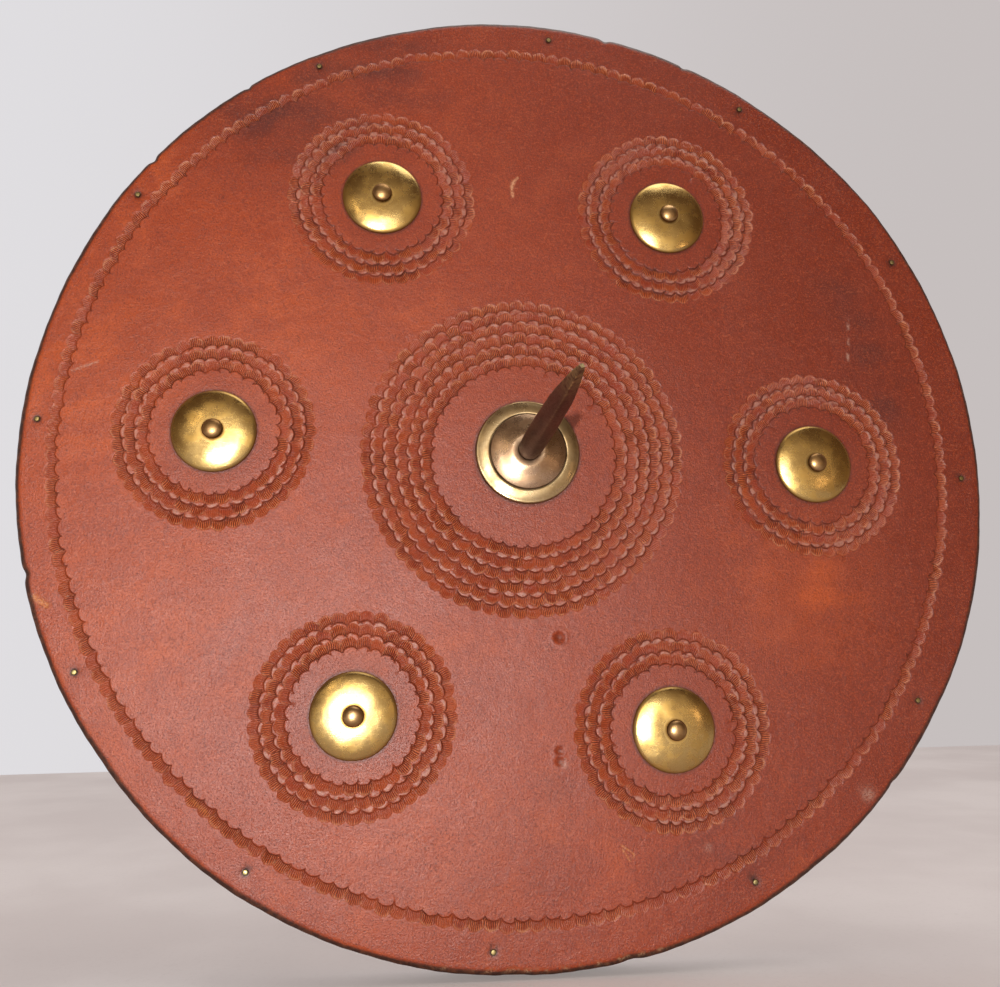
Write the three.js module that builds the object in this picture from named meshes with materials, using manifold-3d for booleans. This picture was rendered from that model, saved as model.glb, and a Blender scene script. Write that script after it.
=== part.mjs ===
// A round targe: a tooled leather face on two crossed layers of boards, six small brass bosses round
// a large one that carries a steel spike, and a buckled arm strap and a hand grip on the back.
// Millimetres. X runs across the face, Z up it, and Y from the face towards the bearer's arm.
// The origin is on the shield's axis, on the bearer's side of the hide backing.

import * as THREE from 'three';
import * as BufferGeometryUtils from 'three/addons/utils/BufferGeometryUtils.js';
import Module from 'manifold-3d';

const wasm = await Module();
wasm.setup();

// Sizes that several pieces share
const seatGap = 0.3;
const overrun = 4;
const weld = 0.0005;
const fullTurn = Math.PI * 2;
const quarterTurn = Math.PI / 2;

// The round body, from the face to the back
const shieldRadius = 254;
const coverThickness = 4.5;
const coverEdgeWidth = 3.6;
const coverEdgeDepth = 3;
const plyThickness = 6;
const boardSetback = 1;
const boardsInLayer = 3;
const backingThickness = 2.2;
const backingSetback = 5;
const bodySides = 112;

const backingFrontY = -backingThickness;
const backPlyY = backingFrontY - seatGap;
const frontPlyY = backPlyY - plyThickness - seatGap;
const coverBackY = frontPlyY - plyThickness - seatGap;
const faceY = coverBackY - coverThickness;
const bodyThickness = -faceY;

// The side bosses and the rivets that hold them
const bossRingRadius = 158.7;
const bossStartAngle = THREE.MathUtils.degToRad(-1.9);
const bossRadius = 21.1;
const bossRise = 3.9;
const bossEdgeHeight = 1.2;
const bossWall = 0.9;
const bossLipShare = 0.6;
const bossBulgePower = 3.2;
const rivetShankRadius = 2.2;
const knobRadius = 5.1;
const knobHeight = 3.4;
const roveRadius = 7;
const roveThickness = 1.3;
const clenchRadius = 4.2;
const clenchHeight = 1.7;

// The maker's layout of bosses and nails lies a little off the middle of the cut disc, and each boss
// and nail strays a little from even spacing: a boss across and up, in shares of its own radius, and
// a nail round the ring.
const layoutShiftX = -1.5;
const layoutShiftZ = 1.3;
const bossStrayShares = [
  [-0.05, 0.05],
  [-0.11, 0.04],
  [-0.085, -0.06],
  [0.04, 0.04],
  [-0.04, 0.04],
  [-0.025, -0.11],
];

// The nails round the edge of the face
const nailInset = 11;
const nailRingRadius = shieldRadius - nailInset;
const nailStartAngle = THREE.MathUtils.degToRad(-2.4);
const nailStrayDegrees = [0, 0.8, 0.6, -1.4, 0, -0.75, 0, 0, -0.6, -1.6, 0, 0.3];
const nailHeadRadius = 1.35;
const nailHeadHeight = 0.6;
const nailShankRadius = 0.7;
const nailBiteInBackPly = 2.4;

// The centre boss, its dome, the socket through the boards and the spike
const centreBossRadius = 27.4;
const centreBossEdge = 1.6;
const centreBossRise = 3.3;
const domeRadius = 19.9;
const domeSeatHeight = 2.2;
const domeEdge = 0.9;
const domeRise = 4.2;
const domeLandRadius = 8.2;
const socketRadius = 8;
const socketCollarRadius = 11;
const socketCollarThickness = 1.5;
const socketProud = 1.6;
const washerRadius = 17;
const washerThickness = 1.8;
const nutAcrossFlats = 24;
const nutHeight = 8.5;
const nutChamfer = 1.6;
const spikeRadius = 6.1;
const spikeTipHeight = 139.5;
const spikeRidgeAngle = THREE.MathUtils.degToRad(69);
const spikeFootRadius = 5;
const spikeFootLength = 26;
const spikeFootChamfer = 0.8;
const socketFloorGap = 1.5;

// The arm strap, which the forearm goes up through, and its buckle
const loopCentreX = -50;
const loopCentreZ = -124.15;
const strapThickness = 3.2;
const footWidth = 75;
const footNailEdge = 8.65;
const footNailSpacing = footWidth - footNailEdge * 2;
const footNailInset = 11.6;
const footNailFromLoop = 13.4;
const footBendRadius = 8;
const loopHalfWidth = 52;
const footNailReach = loopHalfWidth + footNailFromLoop;
const footEndReach = footNailReach + footNailInset;
const loopSideHeight = 32;
const loopCrestHeight = 68;
const crestHalfLength = 22;
const billetWidth = 30;
const billetTaperStart = 44;
const billetTaperEnd = 27;
const billetTipHeight = 20;
const billetPointLength = 13;
const billetTipShare = 0.2;
const billetHoleRadius = 2.3;
const billetHolePitch = 20;
const chapeThickness = 2.2;
const chapeReturn = 18;
const buckleTaperLow = 10;
const buckleTaperHigh = 36;
const barThickness = 4;
const barChamfer = 1.1;
const barSpacing = 26;
const heelReach = 2;
const frameSidePlay = 1.5;
const barPlay = 0.5;
const tongueThickness = 2.6;
const tongueWidth = 4;
const tongueOverhang = 3.2;
const tongueSidePlay = 0.8;
const slotReachShare = 0.58;
const keeperLength = 10;
const keeperWall = 2;
const keeperPlay = 0.7;
const keeperReachShare = 0.33;

// The hand grip
const gripCentreX = -50;
const gripCentreZ = 105;
const gripWidth = 30;
const gripThickness = 5;
const gripFootThickness = 3.2;
const gripHalfWidth = 50;
const gripClearHeight = 40;
const gripNailFromLoop = 15;
const gripNailInset = 11;
const gripNailReach = gripHalfWidth + gripNailFromLoop;
const gripFootEnd = gripNailReach + gripNailInset;
const gripNailEdge = 7.5;
const gripNailSpacing = gripWidth - gripNailEdge * 2;
const gripWaistWidth = 24;
const gripShoulderShare = 0.66;
const gripWaistShare = 0.84;

// The round-headed nails that hold both straps
const strapNailHeadRadius = 4.6;
const strapNailHeadHeight = 2.3;
const strapNailShankRadius = 1.3;

// Colours and surface of each material
const coverLeather = { color: 0x8f4530, roughness: 0.5, metalness: 0 };
const strapLeather = { color: 0x5b3521, roughness: 0.65, metalness: 0 };
const hide = { color: 0x9a7350, roughness: 0.9, metalness: 0 };
const pine = { color: 0xa9814f, roughness: 0.8, metalness: 0 };
const brass = { color: 0xb8963e, roughness: 0.28, metalness: 1 };
const bronze = { color: 0xa08a70, roughness: 0.32, metalness: 1 };
const iron = { color: 0x4a3a30, roughness: 0.55, metalness: 0.8 };
const steel = { color: 0x8a8780, roughness: 0.45, metalness: 1 };

// Geometry helpers

// Joins the points that faces share, and drops the faces that vanish on an axis.
function welded(geometry) {
  const bare = geometry.clone();
  bare.deleteAttribute('normal');
  bare.deleteAttribute('uv');
  const merged = BufferGeometryUtils.mergeVertices(bare, weld);
  const corners = merged.index.array;
  const kept = [];
  for (let i = 0; i < corners.length; i += 3) {
    const [a, b, c] = [corners[i], corners[i + 1], corners[i + 2]];
    if (a !== b && b !== c && c !== a) {
      kept.push(a, b, c);
    }
  }
  merged.setIndex(kept);
  return merged;
}

function solidOf(geometry) {
  const merged = welded(geometry);
  const mesh = new wasm.Mesh({
    numProp: 3,
    vertProperties: new Float32Array(merged.attributes.position.array),
    triVerts: new Uint32Array(merged.index.array),
  });
  return new wasm.Manifold(mesh);
}

function geometryOf(solid) {
  const mesh = solid.getMesh();
  const geometry = new THREE.BufferGeometry();
  geometry.setAttribute('position', new THREE.BufferAttribute(mesh.vertProperties, 3));
  geometry.setIndex(new THREE.BufferAttribute(mesh.triVerts, 1));
  return geometry;
}

// Turns a profile of [radius, height] about the Y axis. Height grows towards facing, which is -1 for
// pieces on the face and 1 for pieces on the back.
function turned(profile, sides, facing = 1) {
  const points = profile.map(([radius, height]) => new THREE.Vector2(radius, facing * height));
  if (THREE.ShapeUtils.area(points) < 0) {
    points.reverse();
  }
  const closes = points[0].x > weld;
  if (closes) {
    points.push(points[0].clone());
  }
  return welded(new THREE.LatheGeometry(points, sides));
}

// A plain round bar along Y between two places, for holes and shanks.
function bar(radius, fromY, toY, x = 0, z = 0, sides = 10) {
  const geometry = new THREE.CylinderGeometry(radius, radius, toY - fromY, sides);
  geometry.translate(x, (fromY + toY) / 2, z);
  return geometry;
}

function block(lowX, highX, lowY, highY, lowZ, highZ) {
  const geometry = new THREE.BoxGeometry(highX - lowX, highY - lowY, highZ - lowZ);
  geometry.translate((lowX + highX) / 2, (lowY + highY) / 2, (lowZ + highZ) / 2);
  return geometry;
}

function cut(geometry, cutters) {
  let solid = solidOf(geometry);
  for (const cutter of cutters) {
    solid = solid.subtract(solidOf(cutter));
  }
  return geometryOf(solid);
}

function joined(geometries) {
  let solid = solidOf(geometries[0]);
  for (const geometry of geometries.slice(1)) {
    solid = solid.add(solidOf(geometry));
  }
  return geometryOf(solid);
}

function common(first, second) {
  return geometryOf(solidOf(first).intersect(solidOf(second)));
}

// The direction of a line of points at one of them.
function directionAt(line, i) {
  const before = line[Math.max(i - 1, 0)];
  const after = line[Math.min(i + 1, line.length - 1)];
  return after.clone().sub(before).normalize();
}

// A line of points moved sideways, to its left for a positive distance.
function beside(line, distance) {
  return line.map((point, i) => {
    const along = directionAt(line, i);
    return new THREE.Vector2(point.x - along.y * distance, point.y + along.x * distance);
  });
}

// A strap of even thickness that follows a line in the X-Y plane, laid about z = 0.
function strapAlong(line, thickness, width) {
  const left = beside(line, thickness / 2);
  const right = beside(line, -thickness / 2).reverse();
  const outline = new THREE.Shape([...right, ...left]);
  const geometry = new THREE.ExtrudeGeometry(outline, { depth: width, bevelEnabled: false });
  geometry.translate(0, 0, -width / 2);
  return geometry;
}

// A prism whose outline is drawn in X and Z, and which reaches from lowY to highY.
function planPrism(points, lowY, highY) {
  const outline = new THREE.Shape(points.map(([x, z]) => new THREE.Vector2(x, z)));
  const geometry = new THREE.ExtrudeGeometry(outline, { depth: highY - lowY, bevelEnabled: false });
  geometry.rotateX(quarterTurn);
  geometry.translate(0, highY, 0);
  return geometry;
}

// A prism whose outline is drawn in Z and Y, and which reaches from lowX to highX.
function sidePrism(points, lowX, highX) {
  const outline = new THREE.Shape(points.map(([z, y]) => new THREE.Vector2(z, y)));
  const geometry = new THREE.ExtrudeGeometry(outline, { depth: highX - lowX, bevelEnabled: false });
  geometry.rotateY(-quarterTurn);
  geometry.translate(highX, 0, 0);
  return geometry;
}

// Skins a row of rings that have the same number of points, and closes both ends.
function skinned(rings) {
  const count = rings[0].length;
  const points = rings.flat();
  const lowMiddle = points.length;
  const highMiddle = lowMiddle + 1;
  const middleOf = (ring) => ring.reduce((sum, p) => sum.add(p), new THREE.Vector3()).divideScalar(count);
  points.push(middleOf(rings[0]), middleOf(rings[rings.length - 1]));
  const faces = [];
  for (let i = 0; i < count; i += 1) {
    const next = (i + 1) % count;
    faces.push(lowMiddle, next, i);
    for (let r = 0; r + 1 < rings.length; r += 1) {
      const low = r * count;
      const high = low + count;
      faces.push(low + i, low + next, high + next, low + i, high + next, high + i);
    }
    const top = (rings.length - 1) * count;
    faces.push(highMiddle, top + i, top + next);
  }
  const geometry = new THREE.BufferGeometry().setFromPoints(points);
  geometry.setIndex(faces);
  return geometry;
}

// A place on a ring about the middle of the maker's layout
function ringPlace(radius, angle) {
  return {
    x: layoutShiftX + radius * Math.cos(angle),
    z: layoutShiftZ + radius * Math.sin(angle),
  };
}

const bossCount = bossStrayShares.length;
const nailCount = nailStrayDegrees.length;
const bossPlaces = bossStrayShares.map(([across, up], i) => {
  const even = ringPlace(bossRingRadius, bossStartAngle + (i * fullTurn) / bossCount);
  return { x: even.x + bossRadius * across, z: even.z + bossRadius * up };
});
const nailPlaces = nailStrayDegrees.map((stray, i) => {
  const angle = nailStartAngle + (i * fullTurn) / nailCount + THREE.MathUtils.degToRad(stray);
  return ringPlace(nailRingRadius, angle);
});

function pairsOfNails(centreX, centreZ, reach, spacing) {
  const places = [];
  for (const side of [-1, 1]) {
    for (const end of [-1, 1]) {
      places.push({ x: centreX + side * reach, z: centreZ + (end * spacing) / 2 });
    }
  }
  return places;
}

const armNailPlaces = pairsOfNails(loopCentreX, loopCentreZ, footNailReach, footNailSpacing);
const gripNailPlaces = pairsOfNails(gripCentreX, gripCentreZ, gripNailReach, gripNailSpacing);
const strapNailPlaces = [...armNailPlaces, ...gripNailPlaces];

// Every hole that goes through a layer of the body between two depths
function holesThrough(fromY, toY, layer) {
  const low = fromY - overrun;
  const high = toY + overrun;
  const holes = [bar(socketRadius + seatGap, low, high, 0, 0, 24)];
  for (const { x, z } of bossPlaces) {
    holes.push(bar(rivetShankRadius + seatGap, low, high, x, z, 10));
  }
  if (layer !== 'cover') {
    for (const { x, z } of strapNailPlaces) {
      holes.push(bar(strapNailShankRadius + seatGap, low, high, x, z, 8));
    }
  }
  if (layer === 'cover' || layer === 'front') {
    for (const { x, z } of nailPlaces) {
      holes.push(bar(nailShankRadius + seatGap, low, high, x, z, 8));
    }
  }
  if (layer === 'back') {
    const deep = fromY + nailBiteInBackPly + seatGap;
    for (const { x, z } of nailPlaces) {
      holes.push(bar(nailShankRadius + seatGap, low, deep, x, z, 8));
    }
  }
  return holes;
}

// The round body

// The cover's front edge is pared and rounded over, from the face to a low side wall.
function leatherCover() {
  const profile = [[0, 0], [shieldRadius, 0], [shieldRadius, coverThickness - coverEdgeDepth]];
  const steps = 3;
  for (let i = 1; i <= steps; i += 1) {
    const angle = (i / steps) * quarterTurn;
    const radius = shieldRadius - coverEdgeWidth * (1 - Math.cos(angle));
    profile.push([radius, coverThickness - coverEdgeDepth * (1 - Math.sin(angle))]);
  }
  profile.push([0, coverThickness]);
  const disc = turned(profile, bodySides, -1);
  disc.translate(0, coverBackY, 0);
  return cut(disc, holesThrough(faceY, coverBackY, 'cover'));
}

// One board of a layer, before its holes: a strip of the disc. Boards of the front layer stand, and
// boards of the back layer lie across them.
function boardStrip(index, nearY, standing) {
  const radius = shieldRadius - boardSetback;
  const width = (radius * 2) / boardsInLayer;
  const low = -radius + index * width + seatGap / 2;
  const high = low + width - seatGap;
  const disc = turned(
    [[0, 0], [radius, 0], [radius, plyThickness], [0, plyThickness]],
    bodySides,
  );
  disc.translate(0, nearY, 0);
  const reach = radius + overrun;
  const outerLow = index === 0 ? -reach : low;
  const outerHigh = index === boardsInLayer - 1 ? reach : high;
  const lowY = nearY - overrun;
  const highY = nearY + plyThickness + overrun;
  const strip = standing
    ? block(outerLow, outerHigh, lowY, highY, -reach, reach)
    : block(-reach, reach, lowY, highY, outerLow, outerHigh);
  return common(disc, strip);
}

function board(index, nearY, standing) {
  const layer = standing ? 'front' : 'back';
  return cut(boardStrip(index, nearY, standing), holesThrough(nearY, nearY + plyThickness, layer));
}

function hideBacking() {
  const radius = shieldRadius - backingSetback;
  const disc = bar(radius, backingFrontY, 0, 0, 0, bodySides);
  return cut(disc, holesThrough(backingFrontY, 0, 'backing'));
}

const rimHeadShare = 0.8;

function rimNail() {
  const length = coverThickness + plyThickness + seatGap * 2 + nailBiteInBackPly + seatGap;
  const profile = [
    [0, -length],
    [nailShankRadius / 2, -length + nailShankRadius],
    [nailShankRadius, -length + nailShankRadius * 2],
    [nailShankRadius, seatGap / 2],
    [nailHeadRadius, seatGap / 2],
    [nailHeadRadius * rimHeadShare, nailHeadHeight * rimHeadShare],
    [0, nailHeadHeight],
  ];
  return turned(profile, 8, -1);
}

// The side bosses: a thin dished cap with a rivet through it, closed over a rove on the back

// The height of a boss's outer skin at a distance from its axis: nearly flat in the middle, and
// steeper towards the rim.
function bossHeight(radius) {
  const share = radius / bossRadius;
  return bossEdgeHeight + (bossRise - bossEdgeHeight) * (1 - share ** bossBulgePower);
}

function sideBoss() {
  const holeRadius = rivetShankRadius + seatGap;
  const outerShares = [1, 0.94, 0.8, 0.6, 0.34];
  const skin = outerShares.map((share) => [bossRadius * share, bossHeight(bossRadius * share)]);
  skin[0][1] = bossEdgeHeight * bossLipShare;
  const profile = [[bossRadius, 0], ...skin, [holeRadius, bossHeight(holeRadius)]];
  const innerShares = [0.36, 0.6, 0.8];
  profile.push([holeRadius, bossHeight(holeRadius) - bossWall]);
  for (const share of innerShares) {
    profile.push([bossRadius * share, bossHeight(bossRadius * share) - bossWall]);
  }
  profile.push([bossRadius - bossWall, 0]);
  return turned(profile, 28, -1);
}

// Outline points of the knob and of the closed end, as shares of their radius and height
const knobShares = [[0.86, 0], [1, 0.36], [0.7, 0.84], [0, 1]];
const clenchShares = [[0, 1], [0.62, 0.8], [1, 0.2], [1, 0]];

function bossRivet() {
  const knobSeat = bossHeight(0) + seatGap;
  const clenchSeat = -(bodyThickness + seatGap + seatGap + roveThickness + seatGap);
  const profile = [
    ...clenchShares.map(([out, up]) => [clenchRadius * out, clenchSeat - clenchHeight * up]),
    [rivetShankRadius, clenchSeat],
    [rivetShankRadius, knobSeat],
    ...knobShares.map(([out, up]) => [knobRadius * out, knobSeat + knobHeight * up]),
  ];
  return turned(profile, 14, -1);
}

const roveShares = [0.94, 0.6];

function bossRove() {
  const holeRadius = rivetShankRadius + seatGap;
  const profile = [
    [holeRadius, 0],
    [roveRadius, 0],
    [roveRadius * roveShares[0], roveThickness * roveShares[1]],
    [holeRadius, roveThickness],
  ];
  return turned(profile, 14);
}

// The centre boss and the spike

function centreBoss() {
  const holeRadius = socketRadius + seatGap;
  const seamRadius = domeRadius + seatGap;
  const shoulder = centreBossRadius - seamRadius;
  const rise = centreBossRise - centreBossEdge;
  const profile = [[holeRadius, 0], [centreBossRadius, 0], [centreBossRadius, centreBossEdge]];
  const steps = 4;
  for (let i = 1; i <= steps; i += 1) {
    const angle = (i / steps) * quarterTurn;
    const radius = centreBossRadius - shoulder * (1 - Math.cos(angle));
    profile.push([radius, centreBossEdge + rise * Math.sin(angle)]);
  }
  profile.push([seamRadius, domeSeatHeight], [holeRadius, domeSeatHeight]);
  return turned(profile, 40, -1);
}

// Points of the dome's skin from its rim in to its land, as shares of the way in and of the rise. It
// is a low cone, eased at both ends.
const domeShares = [[0, 0], [0.03, 0.07], [0.4, 0.45], [0.8, 0.87], [0.93, 0.98], [1, 1]];

function centreDome() {
  const boreRadius = spikeFootRadius + seatGap;
  const collarRoom = socketCollarRadius + seatGap;
  const collarHeight = socketCollarThickness + seatGap;
  const run = domeRadius - domeLandRadius;
  const rise = domeRise - domeEdge;
  const skin = domeShares.map(([inward, up]) => [domeRadius - run * inward, domeEdge + rise * up]);
  const profile = [
    [collarRoom, 0],
    [domeRadius, 0],
    ...skin,
    [boreRadius, domeRise],
    [boreRadius, collarHeight],
    [collarRoom, collarHeight],
  ];
  return turned(profile, 40, -1);
}

const domeFootHeight = domeSeatHeight + seatGap * 2;
const shoulderHeight = domeFootHeight + domeRise + seatGap;
const socketFloorHeight = shoulderHeight - spikeFootLength - socketFloorGap;
const socketEndDepth = seatGap + washerThickness + seatGap + nutHeight + socketProud;

// The socket is a steel bush with a collar under the dome and a closed end behind the nut.
function spikeSocket() {
  const collarTop = domeFootHeight + socketCollarThickness;
  const boreRadius = spikeFootRadius + seatGap;
  const end = -(bodyThickness + socketEndDepth);
  const profile = [
    [0, end],
    [socketRadius - socketProud / 2, end],
    [socketRadius, end + socketProud / 2],
    [socketRadius, domeFootHeight],
    [socketCollarRadius, domeFootHeight],
    [socketCollarRadius, collarTop],
    [boreRadius, collarTop],
    [boreRadius, socketFloorHeight],
    [0, socketFloorHeight],
  ];
  return turned(profile, 32, -1);
}

function socketWasher() {
  const holeRadius = socketRadius + seatGap;
  const profile = [
    [holeRadius, 0],
    [washerRadius, 0],
    [washerRadius, washerThickness],
    [holeRadius, washerThickness],
  ];
  return turned(profile, 32);
}

function socketNut() {
  const cornerRadius = nutAcrossFlats / 2 / Math.cos(Math.PI / 6);
  const prism = new THREE.CylinderGeometry(cornerRadius, cornerRadius, nutHeight, 6);
  prism.translate(0, nutHeight / 2, 0);
  const roundedOff = turned(
    [
      [0, -overrun],
      [cornerRadius + overrun, -overrun],
      [cornerRadius + overrun, nutHeight - nutChamfer - overrun / 2],
      [nutAcrossFlats / 2, nutHeight],
      [0, nutHeight],
    ],
    24,
  );
  return cut(common(prism, roundedOff), [
    bar(socketRadius + seatGap, -overrun, nutHeight + overrun, 0, 0, 24),
  ]);
}

// The spike's section starts round on its shoulder and grows four ridges that meet at the point.
const spikeHeightShares = [0, 0.04, 0.1, 0.3, 0.43, 0.56, 0.66, 0.74, 0.82, 0.91, 0.96, 1];
const spikeRadiusShares = [0.9, 0.96, 1, 0.985, 0.95, 0.885, 0.84, 0.755, 0.61, 0.44, 0.33, 0.18];
const spikeRoundnessShares = [1, 1, 0.95, 0.7, 0.5, 0.38, 0.3, 0.24, 0.18, 0.14, 0.12, 0.12];

function spikeRing(share, radiusShare, roundness) {
  const sides = 24;
  const power = 1 + roundness;
  const height = shoulderHeight + (spikeTipHeight - shoulderHeight) * share;
  return Array.from({ length: sides }, (_, i) => {
    const turn = (i * fullTurn) / sides;
    const spread = Math.abs(Math.cos(turn)) ** power + Math.abs(Math.sin(turn)) ** power;
    const radius = (spikeRadius * radiusShare) / spread ** (1 / power);
    const angle = turn + spikeRidgeAngle;
    return new THREE.Vector3(radius * Math.cos(angle), -height, radius * Math.sin(angle));
  });
}

function spike() {
  const rings = spikeHeightShares.map((share, i) => (
    spikeRing(share, spikeRadiusShares[i], spikeRoundnessShares[i])
  ));
  const blade = skinned(rings);
  const footEnd = shoulderHeight - spikeFootLength;
  const foot = turned(
    [
      [0, footEnd],
      [spikeFootRadius - spikeFootChamfer, footEnd],
      [spikeFootRadius, footEnd + spikeFootChamfer],
      [spikeFootRadius, shoulderHeight + spikeFootChamfer],
      [0, shoulderHeight + spikeFootChamfer],
    ],
    24,
    -1,
  );
  return joined([blade, foot]);
}

// The arm strap. Its lines are drawn about the loop's own middle, with Y as the height off the backing.

const footHeight = seatGap + strapThickness / 2;
const barHeight = loopCrestHeight + strapThickness / 2 + seatGap + barThickness / 2;
const heelX = heelReach;
const outerBarX = heelX - barSpacing;
const eyeInnerRadius = barThickness / 2 + barPlay;
const eyeOuterRadius = eyeInnerRadius + chapeThickness;
const tongueEyeRadius = eyeInnerRadius + tongueThickness;

// How far up the side and in from it the two handles of the loop's shoulder curve lie
const shoulderRiseShare = 0.62;
const shoulderRunShare = 0.58;

// One side of the loop, from the end of its foot up to the crest.
function sideLine(side) {
  const path = new THREE.Path();
  const bendStart = side * (loopHalfWidth + footBendRadius);
  const sideX = side * loopHalfWidth;
  path.moveTo(side * footEndReach, footHeight);
  path.lineTo(bendStart, footHeight);
  path.quadraticCurveTo(sideX, footHeight, sideX, footHeight + footBendRadius);
  path.lineTo(sideX, loopSideHeight);
  const rise = loopCrestHeight - loopSideHeight;
  const run = loopHalfWidth - crestHalfLength;
  path.bezierCurveTo(
    sideX,
    loopSideHeight + rise * shoulderRiseShare,
    side * (crestHalfLength + run * shoulderRunShare),
    loopCrestHeight,
    side * crestHalfLength,
    loopCrestHeight,
  );
  return path.getPoints(8);
}

// How far along the curve handles of the billet reach: on to the buckle, up over the heel bar, off it
// and down to the strap again
const billetHandleShares = [0.5, 0.4, 0.4, 0.3];

// The part of the strap that goes under the outer bar, over the heel bar and down on the other side.
function billetLine() {
  const [onto, over, off, down] = billetHandleShares;
  const overBar = barHeight + eyeOuterRadius + seatGap + strapThickness / 2;
  const chapeEndTop = loopCrestHeight + strapThickness / 2 + chapeThickness;
  const chapeEndX = heelX + chapeReturn;
  const landing = chapeEndTop + seatGap * 2 + strapThickness / 2;
  const path = new THREE.Path();
  path.moveTo(outerBarX + barThickness, loopCrestHeight);
  path.bezierCurveTo(
    outerBarX + barSpacing * onto,
    loopCrestHeight,
    heelX - barSpacing * over,
    overBar,
    heelX - barThickness / 2,
    overBar,
  );
  path.lineTo(heelX + barThickness / 2, overBar);
  path.bezierCurveTo(
    heelX + chapeReturn * off,
    overBar,
    chapeEndX - chapeReturn * down,
    landing + seatGap * 4,
    chapeEndX,
    landing,
  );
  return path.getPoints(8);
}

function armStrapLine() {
  const left = sideLine(-1);
  const under = billetLine();
  const right = sideLine(1).reverse();
  const over = beside(right, strapThickness + seatGap);
  const pastChape = heelX + chapeReturn + strapThickness;
  const down = over.filter((point) => point.x > pastChape && point.y > billetTipHeight);
  const last = new THREE.Vector2(loopHalfWidth + strapThickness + seatGap, billetTipHeight);
  return [...left, ...under, ...down, last];
}

function tongueSlot(lowX, highX) {
  const half = tongueWidth / 2 + tongueSidePlay;
  return block(lowX, highX, loopCrestHeight - overrun, barHeight * 2, -half, half);
}

function armStrap() {
  const band = strapAlong(armStrapLine(), strapThickness, footWidth);
  const wide = footWidth / 2 + overrun;
  const narrow = billetWidth / 2;
  const farX = footEndReach + overrun;
  const highY = barHeight * 2;
  const outline = planPrism(
    [
      [-farX, -wide],
      [-billetTaperStart, -wide],
      [-billetTaperEnd, -narrow],
      [farX, -narrow],
      [farX, narrow],
      [-billetTaperEnd, narrow],
      [-billetTaperStart, wide],
      [-farX, wide],
    ],
    -overrun,
    highY,
  );
  const shaped = common(band, outline);
  const shoulder = billetTipHeight + billetPointLength;
  const pointCutters = [-1, 1].map((side) => sidePrism(
    [
      [side * narrow, shoulder],
      [side * (narrow + overrun), shoulder],
      [side * (narrow + overrun), billetTipHeight - overrun],
      [side * narrow * billetTipShare, billetTipHeight - overrun],
      [side * narrow * billetTipShare, billetTipHeight],
    ],
    loopHalfWidth / 2,
    farX,
  ));
  const slot = tongueSlot(heelX - barSpacing * slotReachShare, heelX + tongueEyeRadius + tongueSidePlay);
  const holes = footNailHoles(-1);
  return cut(shaped, [slot, ...pointCutters, ...holes, ...billetHoles()]);
}

// The spare holes stand in line down the side of the loop, below the keeper.
function billetHoles() {
  const x = loopHalfWidth + strapThickness;
  const holes = [];
  const firstHeight = billetTipHeight + billetPointLength + billetHoleRadius;
  for (const height of [firstHeight, firstHeight + billetHolePitch / 2]) {
    const hole = new THREE.CylinderGeometry(billetHoleRadius, billetHoleRadius, strapThickness, 10);
    hole.rotateZ(quarterTurn);
    hole.scale(2, 1, 1);
    hole.translate(x, height, 0);
    holes.push(hole);
  }
  return holes;
}

function footNailHoles(side) {
  return [-1, 1].map((end) => bar(
    strapNailShankRadius + seatGap,
    -overrun,
    footHeight + strapThickness,
    side * footNailReach,
    (end * footNailSpacing) / 2,
    8,
  ));
}

// The short strap folds round the heel bar as an eye, and its end is sewn back on itself.
function buckleStrap() {
  const line = sideLine(1);
  line.push(new THREE.Vector2(heelX, loopCrestHeight));
  const band = strapAlong(line, strapThickness, footWidth);
  const wide = footWidth / 2 + overrun;
  const narrow = billetWidth / 2;
  const highY = barHeight * 2;
  const outline = sidePrism(
    [
      [-wide, -overrun],
      [wide, -overrun],
      [wide, buckleTaperLow],
      [narrow, buckleTaperHigh],
      [narrow, highY],
      [-narrow, highY],
      [-narrow, buckleTaperHigh],
      [-wide, buckleTaperLow],
    ],
    -footEndReach,
    footEndReach + overrun,
  );
  const eye = new THREE.CylinderGeometry(eyeOuterRadius, eyeOuterRadius, billetWidth, 20);
  eye.rotateX(quarterTurn);
  eye.translate(heelX, barHeight, 0);
  const returnLine = [
    new THREE.Vector2(heelX, barHeight + eyeInnerRadius + chapeThickness / 2),
    new THREE.Vector2(
      heelX + chapeReturn,
      loopCrestHeight + (strapThickness + chapeThickness) / 2 - seatGap,
    ),
  ];
  const returned = strapAlong(returnLine, chapeThickness, billetWidth);
  const body = joined([common(band, outline), eye, returned]);
  const barRoom = new THREE.CylinderGeometry(
    eyeInnerRadius,
    eyeInnerRadius,
    billetWidth + overrun,
    20,
  );
  barRoom.rotateX(quarterTurn);
  barRoom.translate(heelX, barHeight, 0);
  const slot = tongueSlot(heelX - eyeOuterRadius * 2, heelX + eyeOuterRadius + seatGap * 5);
  return cut(body, [barRoom, slot, ...footNailHoles(1)]);
}

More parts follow.
